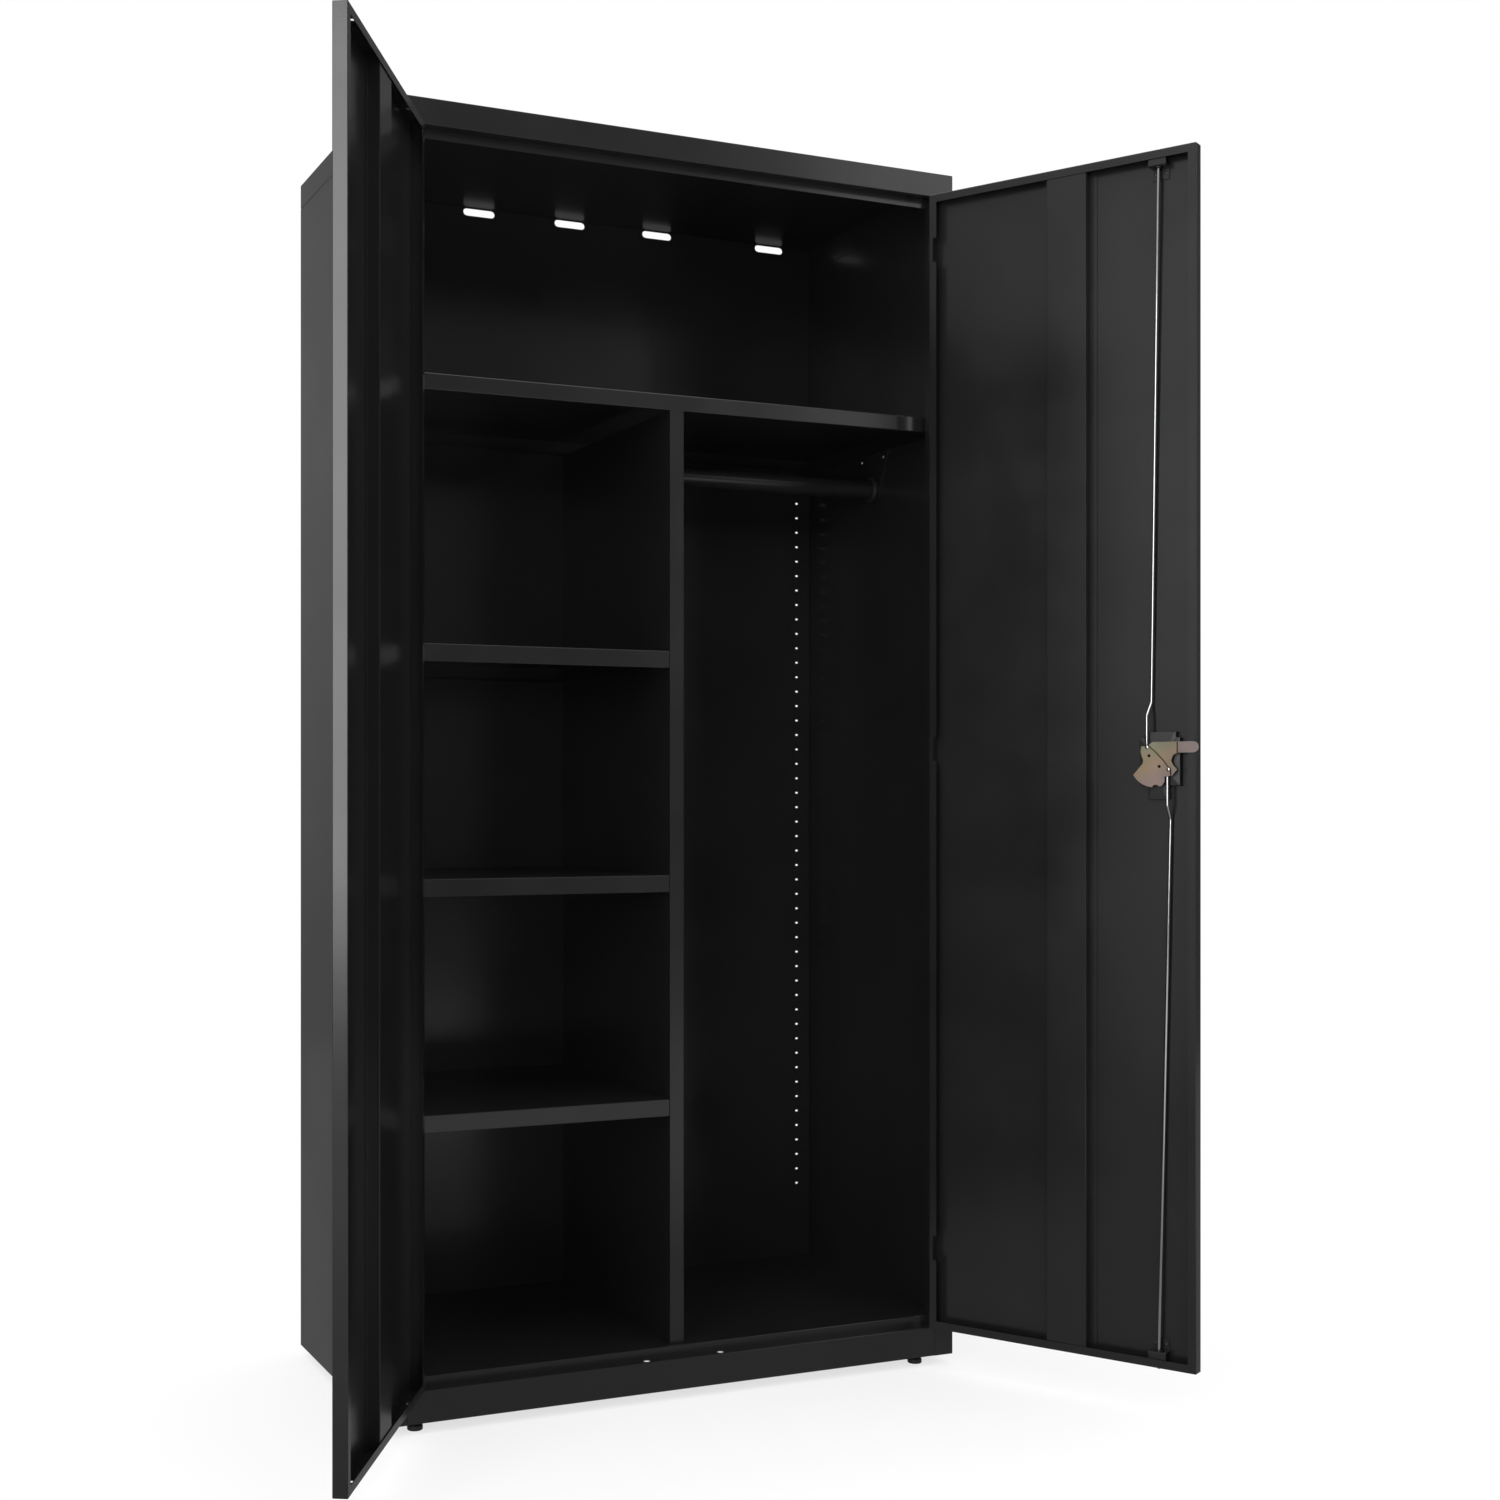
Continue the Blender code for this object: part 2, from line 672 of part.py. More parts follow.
def make_divider(root):
    """The upright between the bays: a front web and two skins, with holes towards the shelves."""
    skin = DIVIDER_FACE - HALF_SHEET
    rear = BACK_FRONT - SEAM_GAP
    path = [(-skin, rear), (-skin, SHELF_SETBACK + HALF_SHEET), (skin, SHELF_SETBACK + HALF_SHEET),
            (skin, rear)]
    divider = prism("divider", folded_outline(path), DECK_HEIGHT + SEAM_GAP,
                    TOP_SHELF_HEIGHT - SEAM_GAP, "z")
    for y in (SHELF_SETBACK + DIVIDER_FRONT_HOLES, BACK_FRONT - DIVIDER_REAR_HOLES):
        cut(divider, hole_column((-DIVIDER_FACE, y), UPRIGHT_HOLE_MARGIN, "x"))
    return dress(divider, "black_enamel", root)


def clip_block(face, along, outward, low, high):
    """A box in a clip's own directions: out from the wall, along the wall and up."""
    corners = []
    for spot in (low, high):
        corners.append((face[0] + outward[0] * spot[0] + along[0] * spot[1],
                        face[1] + outward[1] * spot[0] + along[1] * spot[1], spot[2]))
    return block("clip", [min(pair) for pair in zip(*corners)], [max(pair) for pair in zip(*corners)])


def make_clip(name, face, outward, along, ledge_start, ledge_end, bottom, root):
    """A shelf clip: a plate on the wall, a ledge under the shelf and a peg through the wall."""
    top = bottom - SEAM_GAP
    hole = bottom - CLIP_RISE
    half = CLIP_WIDTH / 2
    peg = CLIP_PEG / 2
    near = SEAM_GAP
    far = near + CLIP_SHEET
    foot = hole - CLIP_HEIGHT / 2
    clip = clip_block(face, along, outward, (near, min(-half, ledge_start), foot),
                      (far, max(half, ledge_end), top))
    ledge = clip_block(face, along, outward, (near + CLIP_SHEET / 2, ledge_start, top - CLIP_SHEET),
                       (near + CLIP_REACH, ledge_end, top))
    stud = clip_block(face, along, outward, (-CLIP_PEG_REACH, -peg, hole - peg),
                      (near + CLIP_SHEET / 2, peg, hole + peg))
    clip.name = name
    combine(clip, [ledge, stud], "UNION")
    return dress(clip, "black_enamel", root)


def make_clips(root):
    """Four clips under each half shelf: front and rear, at the wall and at the divider."""
    half = CLIP_WIDTH / 2
    stile_back = -(OPENING_HALF + SHEET)
    back_x = -(HALF_WIDTH - BACK_HOLE_INSET)
    front_y = SHELF_SETBACK + DIVIDER_FRONT_HOLES
    rear_y = BACK_FRONT - DIVIDER_REAR_HOLES
    for index, bottom in enumerate(half_shelf_bottoms()):
        word = "shelf_clip_%d_" % (index + 1)
        ledge_start = SHELF_SETBACK + SEAM_GAP - STILE_HOLES
        make_clip(word + "front_wall", (stile_back, STILE_HOLES), (-1, 0), (0, 1),
                  ledge_start, ledge_start + FRONT_CLIP_REACH, bottom, root)
        make_clip(word + "rear_wall", (back_x, BACK_FRONT), (0, -1), (1, 0), -half, half, bottom, root)
        make_clip(word + "front_divider", (-DIVIDER_FACE, front_y), (-1, 0), (0, 1), -half, half,
                  bottom, root)
        make_clip(word + "rear_divider", (-DIVIDER_FACE, rear_y), (-1, 0), (0, 1), -half, half,
                  bottom, root)


def bracket_outline():
    """A plate that narrows from its top edge to a round eye."""
    top = TOP_SHELF_HEIGHT - SEAM_GAP
    outline = [(ROD_SETBACK + BRACKET_TOP_WIDTH / 2, top), (ROD_SETBACK - BRACKET_TOP_WIDTH / 2, top)]
    steps = ROUND_SIDES // 2
    for step in range(steps + 1):
        turn = pi + pi * step / steps
        outline.append((ROD_SETBACK + BRACKET_EYE_RADIUS * cos(turn),
                        ROD_HEIGHT + BRACKET_EYE_RADIUS * sin(turn)))
    return outline


def make_garment_rod(root):
    """The hanging rod and the two plates whose eyes carry its ends."""
    right = WALL_FACE - SEAM_GAP
    left = DIVIDER_FACE + SEAM_GAP
    for name, low in (("rod_bracket_left", left), ("rod_bracket_right", right - BRACKET_SHEET)):
        bracket = prism(name, bracket_outline(), low, low + BRACKET_SHEET, "x")
        eye = circle((ROD_SETBACK, ROD_HEIGHT), ROD_RADIUS + SEAM_GAP, ROUND_SIDES)
        cut(bracket, [prism("eye", eye, low - OVERRUN, low + OVERRUN, "x")])
        dress(bracket, "black_enamel", root)
    ring = circle((ROD_SETBACK, ROD_HEIGHT), ROD_RADIUS, ROUND_SIDES)
    rod = prism("garment_rod", ring, left, right, "x")
    dress(rod, "black_enamel", root, smooth=True)


# Doors
def door_frame(side):
    """Matrix from door coordinates (u, w, z) to the hinge axis's own coordinates."""
    return Matrix((
        (-side, 0, 0, side * (DOOR_EDGE - PIVOT_X)),
        (0, 1, 0, DOOR_DEPTH - PIVOT_Y),
        (0, 0, 1, 0),
        (0, 0, 0, 1),
    ))


def to_door(item, side, axis_place=(0, 0, 0)):
    """Move a piece modelled in door coordinates to its axis; the mirrored side keeps faces outward."""
    frame = door_frame(side)
    item.data.transform(Matrix.Translation([-value for value in axis_place]) @ frame)
    if frame.determinant() < 0:
        item.data.flip_normals()
    return item


def side_word(side):
    return "right" if side > 0 else "left"


def hinge_span(centre):
    return centre - HINGE_LENGTH / 2, centre + HINGE_LENGTH / 2


def make_door_pan(side, axis):
    """A door leaf: skin, four edge walls and a turned lip all round.

    Each end wall has a rod hole near the leading edge and its twin near the hinges, so that the
    leaf can hang on either side.
    """
    low = (0, -DOOR_DEPTH, DOOR_BOTTOM)
    high = (DOOR_WIDTH, 0, DOOR_TOP)
    leaf = pan(side_word(side) + "_door_pan", low, high,
               (DOOR_LIP, -2 * SHEET, DOOR_BOTTOM + DOOR_LIP),
               (DOOR_WIDTH - DOOR_LIP, OVERRUN, DOOR_TOP - DOOR_LIP))
    notches = []
    for centre in HINGE_HEIGHTS:
        foot, top = hinge_span(centre)
        notches.append(block("notch", (DOOR_LIP - LIP_NOTCH, -2 * SHEET, foot),
                             (DOOR_LIP + OVERRUN, OVERRUN, top)))
    for height, (_, line) in zip((DOOR_TOP, DOOR_BOTTOM), latch_rods()):
        u, w = rod_spot(line, height)
        for place in (u, DOOR_WIDTH - u):
            outline = circle((place, w), DOOR_HOLE_RADIUS, SMALL_SIDES)
            notches.append(prism("rod_hole", outline, height - OVERRUN / 2, height + OVERRUN / 2, "z"))
    if side > 0:
        notches.append(prism("cup_hole", cup_outline(SEAM_GAP), -DOOR_DEPTH - OVERRUN,
                             -DOOR_DEPTH + 2 * SHEET, "y"))
    cut(leaf, notches)
    return dress(to_door(leaf, side), "black_enamel", axis)


def make_stiffener(side, axis):
    """A hat section up the inside of the door skin."""
    base = -DOOR_DEPTH + SHEET + SEAM_GAP + HALF_SHEET
    crown = -SHEET - STIFFENER_SET_BACK - HALF_SHEET
    start = STIFFENER_START + HALF_SHEET
    end = STIFFENER_START + STIFFENER_WIDTH - HALF_SHEET
    path = [(start - STIFFENER_FLANGE, base), (start, base), (start, crown), (end, crown),
            (end, base), (end + STIFFENER_FLANGE, base)]
    margin = SHEET + SEAM_GAP
    hat = prism(side_word(side) + "_door_stiffener", folded_outline(path), DOOR_BOTTOM + margin,
                DOOR_TOP - margin, "z")
    return dress(to_door(hat, side), "black_enamel", axis)


def knuckle(span, sides=SMALL_SIDES):
    return prism("knuckle", circle((0, 0), KNUCKLE_RADIUS, sides), span[0], span[1], "z")


def make_hinge_leaf(name, face, tab_spans, centre, side, parent, shift):
    """A leaf beside the hinge line: a plate, tabs and knuckles with a bore for the pin.

    Coordinates start on the hinge line; face is the x of the leaf's middle for a right-hand hinge.
    """
    half = HINGE_LEAF_SHEET / 2
    foot, top = hinge_span(centre)
    plate_start = KNUCKLE_RADIUS + RUNNING_GAP
    plate_end = HINGE_LEAF_REACH - PIVOT_Y
    leaf = block(name, (face - half, plate_start, foot), (face + half, plate_end, top))
    for span in tab_spans:
        tab = block("tab", (face - half, 0, span[0]), (face + half, plate_start + half, span[1]))
        combine(leaf, [tab, knuckle(span)], "UNION")
    bore = circle((0, 0), KNUCKLE_BORE, SMALL_SIDES)
    cut(leaf, [prism("bore", bore, foot - OVERRUN, top + OVERRUN, "z")])
    mirror = Matrix.Diagonal((side, 1, 1, 1))
    leaf.data.transform(Matrix.Translation(shift) @ mirror)
    if side < 0:
        leaf.data.flip_normals()
    return dress(leaf, "black_enamel", parent)


def make_hinges(side, axis, root):
    """Three hinges: a frame leaf with two knuckles, a door leaf with one and a pin."""
    word = side_word(side)
    face = HINGE_GAP / 2 - SEAM_GAP - HINGE_LEAF_SHEET / 2
    third = HINGE_LENGTH * KNUCKLE_SHARE
    shift = (side * PIVOT_X, PIVOT_Y, 0)
    for index, centre in enumerate(HINGE_HEIGHTS):
        tail = "_hinge_%d" % (index + 1)
        foot, top = hinge_span(centre)
        outer = ((foot, foot + third), (top - third, top))
        inner = ((foot + third + RUNNING_GAP, top - third - RUNNING_GAP),)
        make_hinge_leaf(word + tail + "_frame_leaf", face, outer, centre, side, root, shift)
        make_hinge_leaf(word + tail + "_door_leaf", -face, inner, centre, side, axis, (0, 0, 0))
        head = PIN_HEAD_HEIGHT
        profile = [
            (PIN_HEAD_RADIUS, -head - SEAM_GAP), (PIN_HEAD_RADIUS, -SEAM_GAP),
            (PIN_RADIUS, -SEAM_GAP), (PIN_RADIUS, HINGE_LENGTH + SEAM_GAP),
            (PIN_HEAD_RADIUS, HINGE_LENGTH + SEAM_GAP), (PIN_HEAD_RADIUS, HINGE_LENGTH + SEAM_GAP + head),
        ]
        pin = turned(word + tail + "_pin", profile, (shift[0], shift[1], foot), SMALL_SIDES)
        dress(pin, "steel_pin", root, smooth=True)


# Latch
def rod_line(end, jog, shift, tip):
    """Centre line of a latch rod from its tip at the door's edge to its end at the cam.

    The rod runs straight along the skin from the tip to the jog, rises there to pass over the handle
    housing and goes on upright. Its end and its jog are measured from the spindle.
    """
    outward = 1 if jog > 0 else -1
    u = SPINDLE_U + end[0]
    return [
        Vector((ROD_GUIDE_U, ROD_GUIDE_W, tip)),
        Vector((u + shift, ROD_JOG_W, SPINDLE_HEIGHT + jog + outward * JOG_HEIGHT)),
        Vector((u, ROD_W, SPINDLE_HEIGHT + jog)),
        Vector((u, ROD_W, SPINDLE_HEIGHT + end[1])),
    ]


def latch_rods():
    """Name and centre line of the two latch rods."""
    reach = DOOR_GAP - TIP_CLEARANCE
    return (
        ("upper_rod", rod_line(UPPER_ROD_END, UPPER_ROD_JOG, UPPER_JOG_SHIFT, DOOR_TOP + reach)),
        ("lower_rod", rod_line(LOWER_ROD_END, LOWER_ROD_JOG, LOWER_JOG_SHIFT, DOOR_BOTTOM - reach)),
    )


def rod_spot(line, height):
    """Where a rod's straight run passes a height, as (u, w)."""
    spot = line[0].lerp(line[1], (height - line[0].z) / (line[1].z - line[0].z))
    return spot.x, spot.y


def make_latch_rods(axis):
    """Each rod slides along its straight run, so its empty stands on the rod's tip."""
    for name, line in latch_rods():
        place = door_frame(1) @ line[0]
        slide = axis_point(name + "_slide", axis, place)
        rod = round_bar(name, line, LATCH_ROD_RADIUS, LATCH_ROD_SIDES)
        dress(to_door(rod, 1, place), "bright_zinc", slide, smooth=True)


def make_guides(axis):
    """Bent brackets inside the door's ends, each with a hole for its rod."""
    half = GUIDE_SHEET / 2
    face = -SHEET - GUIDE_LIP_GAP - half
    base = -DOOR_DEPTH + SHEET + SEAM_GAP + half
    lips = ((DOOR_TOP - DOOR_LIP, -1), (DOOR_BOTTOM + DOOR_LIP, 1))
    for (name, line), (lip_edge, inward) in zip(latch_rods(), lips):
        shelf = lip_edge + inward * GUIDE_FACE_HEIGHT
        path = [(face, lip_edge), (face, shelf), (base, shelf), (base, shelf + inward * GUIDE_FOOT_HEIGHT)]
        start = ROD_GUIDE_U - GUIDE_WIDTH / 2
        outline = folded_outline(path, GUIDE_SHEET)
        guide = prism(name.replace("rod", "guide"), outline, start, start + GUIDE_WIDTH, "x")
        hole = circle(rod_spot(line, shelf), GUIDE_HOLE_RADIUS, SMALL_SIDES)
        cut(guide, [prism("rod_hole", hole, shelf - OVERRUN / 2, shelf + OVERRUN / 2, "z")])
        dress(to_door(guide, 1), "black_enamel", axis)


def scaled(shares, size):
    """Points about the spindle given as shares of one size."""
    return [(SPINDLE_U + share_u * size, SPINDLE_HEIGHT + share_z * size) for share_u, share_z in shares]


def cam_outline():
    """The cam: two lugs for the rods and a sector with a round outer edge."""
    outline = scaled(CAM_OUTLINE_SHARES, CAM_REACH)
    for step in range(CAM_SECTOR_STEPS + 1):
        turn = CAM_SECTOR_START + (CAM_SECTOR_END - CAM_SECTOR_START) * step / CAM_SECTOR_STEPS
        outline.append((SPINDLE_U + CAM_REACH * cos(turn), SPINDLE_HEIGHT + CAM_REACH * sin(turn)))
    return outline + scaled(CAM_FLANK_SHARES, CAM_REACH)


def make_cam_plate(axis, place):
    cam = prism("cam_plate", cam_outline(), CAM_BACK, CAM_BACK + LATCH_SHEET, "y")
    holes = []
    for centre in scaled(CAM_HOLE_SHARES, CAM_REACH):
        ring = circle(centre, CAM_HOLE_RADIUS, SMALL_SIDES)
        holes.append(prism("rivet_hole", ring, CAM_BACK - OVERRUN, CAM_BACK + OVERRUN, "y"))
    cut(cam, holes)
    return dress(to_door(cam, 1, place), "yellow_zinc", axis)


def make_latch_arm(axis, place):
    """The arm plate: it lies flat behind the cam and bends away from the door past the crease."""
    crease = SPINDLE_U + ARM_CREASE
    top = SPINDLE_HEIGHT + ARM_TOP
    outline = [(crease, top)] + scaled(ARM_BODY_SHARES[::-1], ARM_REACH)
    arm = prism("latch_arm", outline, ARM_BACK, ARM_BACK + LATCH_SHEET, "y")
    radius = ARM_WIDTH / 2
    reach = SPINDLE_U + ARM_REACH - radius
    blade = [(crease, top), (crease, top - ARM_WIDTH)]
    for step in range(ARM_TIP_STEPS + 1):
        turn = -pi / 2 + pi * step / ARM_TIP_STEPS
        blade.append((reach + radius * cos(turn), top - radius + radius * sin(turn)))
    tip = prism("blade", blade, ARM_BACK, ARM_BACK + LATCH_SHEET, "y")
    pivot = Vector((crease, ARM_BACK, top))
    bend = Matrix.Translation(pivot) @ Matrix.Rotation(ARM_BEND, 4, "Z") @ Matrix.Translation(-pivot)
    tip.data.transform(bend)
    root_strip = prism("strip", [(crease - radius, top), (crease - radius, top - ARM_WIDTH),
                                 (crease + LATCH_SHEET / 2, top - ARM_WIDTH), (crease + LATCH_SHEET / 2, top)],
                       ARM_BACK, ARM_BACK + LATCH_SHEET, "y")
    combine(arm, [root_strip, tip], "UNION")
    return dress(to_door(arm, 1, place), "yellow_zinc", axis)


def cup_outline(grow):
    """The dish seen square on: a rectangle, a tongue under it and a step on it, grown by a margin."""
    half = CUP_WIDTH / 2 + grow
    tongue = CUP_TONGUE_WIDTH / 2 + grow
    step = CUP_STEP_WIDTH / 2 + grow
    low = CUP_Z - CUP_HEIGHT / 2 - grow
    high = CUP_Z + CUP_HEIGHT / 2 + grow
    foot = low - CUP_TONGUE_DROP
    crest = high + CUP_STEP_RISE
    return [(CUP_U - half, low), (SPINDLE_U - tongue, low), (SPINDLE_U - tongue, foot),
            (SPINDLE_U + tongue, foot), (SPINDLE_U + tongue, low), (CUP_U + half, low),
            (CUP_U + half, high), (CUP_U + step, high), (CUP_U + step, crest),
            (CUP_U - step, crest), (CUP_U - step, high), (CUP_U - half, high)]


def make_handle_housing(axis):
    """The dish let into the door skin, with a flange outside and a bearing hole in its back."""
    centre = (CUP_U, CUP_Z + (CUP_STEP_RISE - CUP_TONGUE_DROP) / 2)
    tall = CUP_TONGUE_DROP + CUP_HEIGHT + CUP_STEP_RISE
    outer = (CUP_WIDTH + 2 * CUP_FLANGE, tall + 2 * CUP_FLANGE)
    housing = prism("handle_housing", cup_outline(0), CUP_FRONT, -CUP_BACK, "y")
    rim = rounded_rectangle(centre, outer, CUP_CORNER, BEND_STEPS)
    combine(housing, [prism("rim", rim, CUP_FRONT, CUP_FRONT + CUP_FLANGE_SHEET, "y")], "UNION")
    dish = prism("dish", cup_outline(-CUP_WALL), CUP_FRONT - OVERRUN, -CUP_BACK - CUP_WALL, "y")
    ring = circle((SPINDLE_U, SPINDLE_HEIGHT), SPINDLE_RADIUS + SPINDLE_GAP, ROUND_SIDES)
    bearing = prism("bearing", ring, -CUP_BACK - OVERRUN, -CUP_BACK + OVERRUN, "y")
    combine(housing, [dish, bearing], "DIFFERENCE")
    return dress(to_door(housing, 1), "black_plastic", axis)


def lever_outline():
    """A bar that tapers from the hub to a blunt tip, hanging at the rest angle."""
    turn = LEVER_REST_ANGLE - pi / 2
    along = Vector((cos(turn), sin(turn)))
    across = Vector((-along.y, along.x))
    centre = Vector((SPINDLE_U, SPINDLE_HEIGHT))
    shoulder = centre + along * (LEVER_LENGTH - LEVER_TIP_WIDTH / 2)
    tip = centre + along * LEVER_LENGTH
    return [
        centre - across * (LEVER_ROOT_WIDTH / 2), shoulder - across * (LEVER_TIP_WIDTH / 2),
        tip - across * (LEVER_TIP_WIDTH / 4), tip + across * (LEVER_TIP_WIDTH / 4),
        shoulder + across * (LEVER_TIP_WIDTH / 2), centre + across * (LEVER_ROOT_WIDTH / 2),
    ]


def make_lever(axis, place):
    """Hub, lever and spindle in one casting, bored for the lock plug."""
    centre = (SPINDLE_U, SPINDLE_HEIGHT)
    front = CUP_FRONT - HUB_PROUD
    back = -CUP_BACK - CUP_WALL - SEAM_GAP
    lever = prism("lever_handle", circle(centre, HUB_RADIUS, ROUND_SIDES), front, back, "y")
    spindle = prism("spindle", circle(centre, SPINDLE_RADIUS, ROUND_SIDES), back - HUB_PROUD,
                    ARM_BACK - SEAM_GAP, "y")
    bar = prism("bar", lever_outline(), front, CUP_FRONT - SEAM_GAP, "y")
    combine(lever, [spindle, bar], "UNION")
    bore = prism("bore", circle(centre, PLUG_RADIUS + PLUG_GAP, SMALL_SIDES), front - OVERRUN,
                 front + PLUG_LENGTH, "y")
    combine(lever, [bore], "DIFFERENCE")
    return dress(to_door(lever, 1, place), "black_plastic", axis, smooth=True)


def make_lock_plug(axis, place):
    """The lock's plug with its keyway."""
    centre = (SPINDLE_U, SPINDLE_HEIGHT)
    front = CUP_FRONT - HUB_PROUD - PLUG_PROUD
    back = CUP_FRONT - HUB_PROUD + PLUG_LENGTH - SEAM_GAP
    plug = prism("lock_plug", circle(centre, PLUG_RADIUS, SMALL_SIDES), front, back, "y")
    keyway = block("keyway", (SPINDLE_U - KEYWAY_WIDTH / 2, front - OVERRUN, SPINDLE_HEIGHT - KEYWAY_HEIGHT / 2),
                   (SPINDLE_U + KEYWAY_WIDTH / 2, front + KEYWAY_DEPTH, SPINDLE_HEIGHT + KEYWAY_HEIGHT / 2))
    cut(plug, [keyway])
    return dress(to_door(plug, 1, place), "bright_zinc", axis, smooth=True)


def make_latch(door_axis):
    place = door_frame(1) @ Vector((SPINDLE_U, 0, SPINDLE_HEIGHT))
    handle_axis = axis_point("handle_axis", door_axis, place)
    lock_axis = axis_point("lock_axis", handle_axis, (0, 0, 0))
    make_handle_housing(door_axis)
    make_lever(handle_axis, place)
    make_lock_plug(lock_axis, place)
    make_latch_arm(handle_axis, place)
    make_cam_plate(handle_axis, place)
    make_guides(door_axis)
    make_latch_rods(door_axis)


def make_door(side, root):
    axis = axis_point(side_word(side) + "_hinge_axis", root, (side * PIVOT_X, PIVOT_Y, 0),
                      side * DOOR_OPEN_ANGLE)
    make_door_pan(side, axis)
    make_stiffener(side, axis)
    make_hinges(side, axis, root)
    if side > 0:
        make_latch(axis)


def settle(root):
    """Put the origin at floor level under the middle of the bounding box."""
    bpy.context.view_layer.update()
    reach = []
    for item in bpy.data.objects:
        if item.type == "MESH":
            reach += [(item.matrix_world @ vertex.co).y for vertex in item.data.vertices]
    root.location.y = -(min(reach) + max(reach)) / 2
    bpy.context.view_layer.update()


def main():
    clear_scene()
    root = link("wardrobe", None)
    root.location.z = FOOT_HEIGHT
    make_top_cap(root)
    make_side(-1, root)
    make_side(1, root)
    make_back(root)
    make_floor_pan(root)
    make_feet(root)
    make_shelves(root)
    make_divider(root)
    make_clips(root)
    make_garment_rod(root)
    make_door(-1, root)
    make_door(1, root)
    settle(root)


main()
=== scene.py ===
"""Steel wardrobe cabinet with both doors open: finishes, latch, handle, fasteners and a plain studio.

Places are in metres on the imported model's frame: x to the right, y backwards and z up.
Door pieces are worked out as (u, w, z): u from the hinge edge towards the leading edge, w from the
plane of the inner lip towards the inside of the cabinet, and z from the body's lower edge.
"""
from math import cos, pi, radians, sin

import bpy
import numpy as np
from bpy.props import FloatProperty, FloatVectorProperty, IntProperty, PointerProperty
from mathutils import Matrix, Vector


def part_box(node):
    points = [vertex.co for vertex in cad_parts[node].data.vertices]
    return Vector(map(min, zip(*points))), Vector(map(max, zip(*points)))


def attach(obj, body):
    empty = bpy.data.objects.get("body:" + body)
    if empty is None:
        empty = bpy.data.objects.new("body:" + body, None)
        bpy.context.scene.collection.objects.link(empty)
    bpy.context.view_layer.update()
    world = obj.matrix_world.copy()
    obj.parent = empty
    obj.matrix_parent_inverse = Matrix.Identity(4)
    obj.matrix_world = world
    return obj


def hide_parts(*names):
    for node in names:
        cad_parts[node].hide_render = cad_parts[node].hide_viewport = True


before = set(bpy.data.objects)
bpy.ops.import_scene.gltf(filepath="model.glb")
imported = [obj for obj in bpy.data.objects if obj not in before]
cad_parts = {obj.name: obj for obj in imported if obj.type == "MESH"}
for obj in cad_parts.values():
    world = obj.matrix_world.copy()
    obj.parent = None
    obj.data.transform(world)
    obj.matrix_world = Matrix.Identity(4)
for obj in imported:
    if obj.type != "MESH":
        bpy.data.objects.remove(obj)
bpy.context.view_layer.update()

bl_info = {
    "name": "Wardrobe Cabinet Dressing",
    "version": (1, 0, 0),
    "blender": (4, 5, 0),
    "location": "View3D > Sidebar > Wardrobe",
    "description": "Finishes and fine pieces for a double-door steel wardrobe cabinet",
    "category": "Object",
}

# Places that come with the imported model
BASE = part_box("left_side")[0][2]
HINGE_LINE = [sum(pair) / 2 for pair in zip(*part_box("right_hinge_1_pin"))]

# Places on a door
DOOR_ANGLE = radians(120)
EDGE_TO_HINGE = 0.0015
LIP_TO_HINGE = 0.0223
SKIN_INSIDE = -0.018
SPINDLE = (0.3605, 0.9135)
GUIDE_U = 0.362
UPPER_RUN = ((0.362, -0.0095, 1.7914), (0.3496, -0.0135, 0.999))
LOWER_RUN = ((0.362, -0.0095, 0.0454), (0.3781, -0.0135, 0.832))
PLATE_FACE = 0.0049
ARM_CREASE = 0.0331
STUDS = ((-0.0105, 0.0213), (0.021, -0.0108))
# The cam's two holes, filled with dark plugs as painted shade
PLUGS = ((-0.00756, 0.00936), (0.00756, -0.00612))
BUSHING_HEIGHTS = (1.7663, 0.0705)
RIVET_HEIGHTS = (1.7573, 0.0795)
RIVET_SHIFT = 0.008
GRIP_TILT = radians(20)

# The handle's dish, with the half widths of its box, tongue and step, and the flange round it
DISH_CENTRE = (0.364, 0.9145)
DISH_HALF_WIDTHS = (0.030, 0.014, 0.024)
DISH_HALF_HEIGHT = 0.0345
TONGUE_LENGTH = 0.02
STEP_HEIGHT = 0.008
RIM_CENTRE = (0.364, 0.9085)

# Columns of shelf holes, from the edges of the back and of the divider
BACK_HOLES = 0.0252
FRONT_HOLES = 0.052
REAR_HOLES = 0.0417
FIRST_HOLE = 0.1849
SLOT_RISE = 0.0013
BACK_COUNT, DIVIDER_COUNT = 48, 41
HOLE_CLEARANCE = 0.002

# The studio: a round room, and the camera that was fitted to the photograph
ROOM_RADIUS = 4.5
CAMERA_PLACE = (-1.23804, -2.64266, 0.87593)
CAMERA_TURN = -0.4148
CAMERA_SHIFT = (0.0799, 0.0327)
SENSOR_WIDTH = 36

SMOOTH_ANGLE = radians(38)
WHITE = (1, 1, 1, 1)


# Colours
def linear(code):
    """An sRGB hex colour as linear red, green and blue."""
    parts = np.array([int(code[spot:spot + 2], 16) / 255 for spot in (1, 3, 5)])
    return tuple(np.where(parts <= 0.04045, parts / 12.92, ((parts + 0.055) / 1.055) ** 2.4).tolist())


def colour(name, code, description):
    return FloatVectorProperty(name=name, description=description, subtype="COLOR", size=3,
                               min=0, max=1, default=linear(code))


def length(name, value, description):
    return FloatProperty(name=name, description=description, default=value, min=0, unit="LENGTH",
                         subtype="DISTANCE", precision=5)


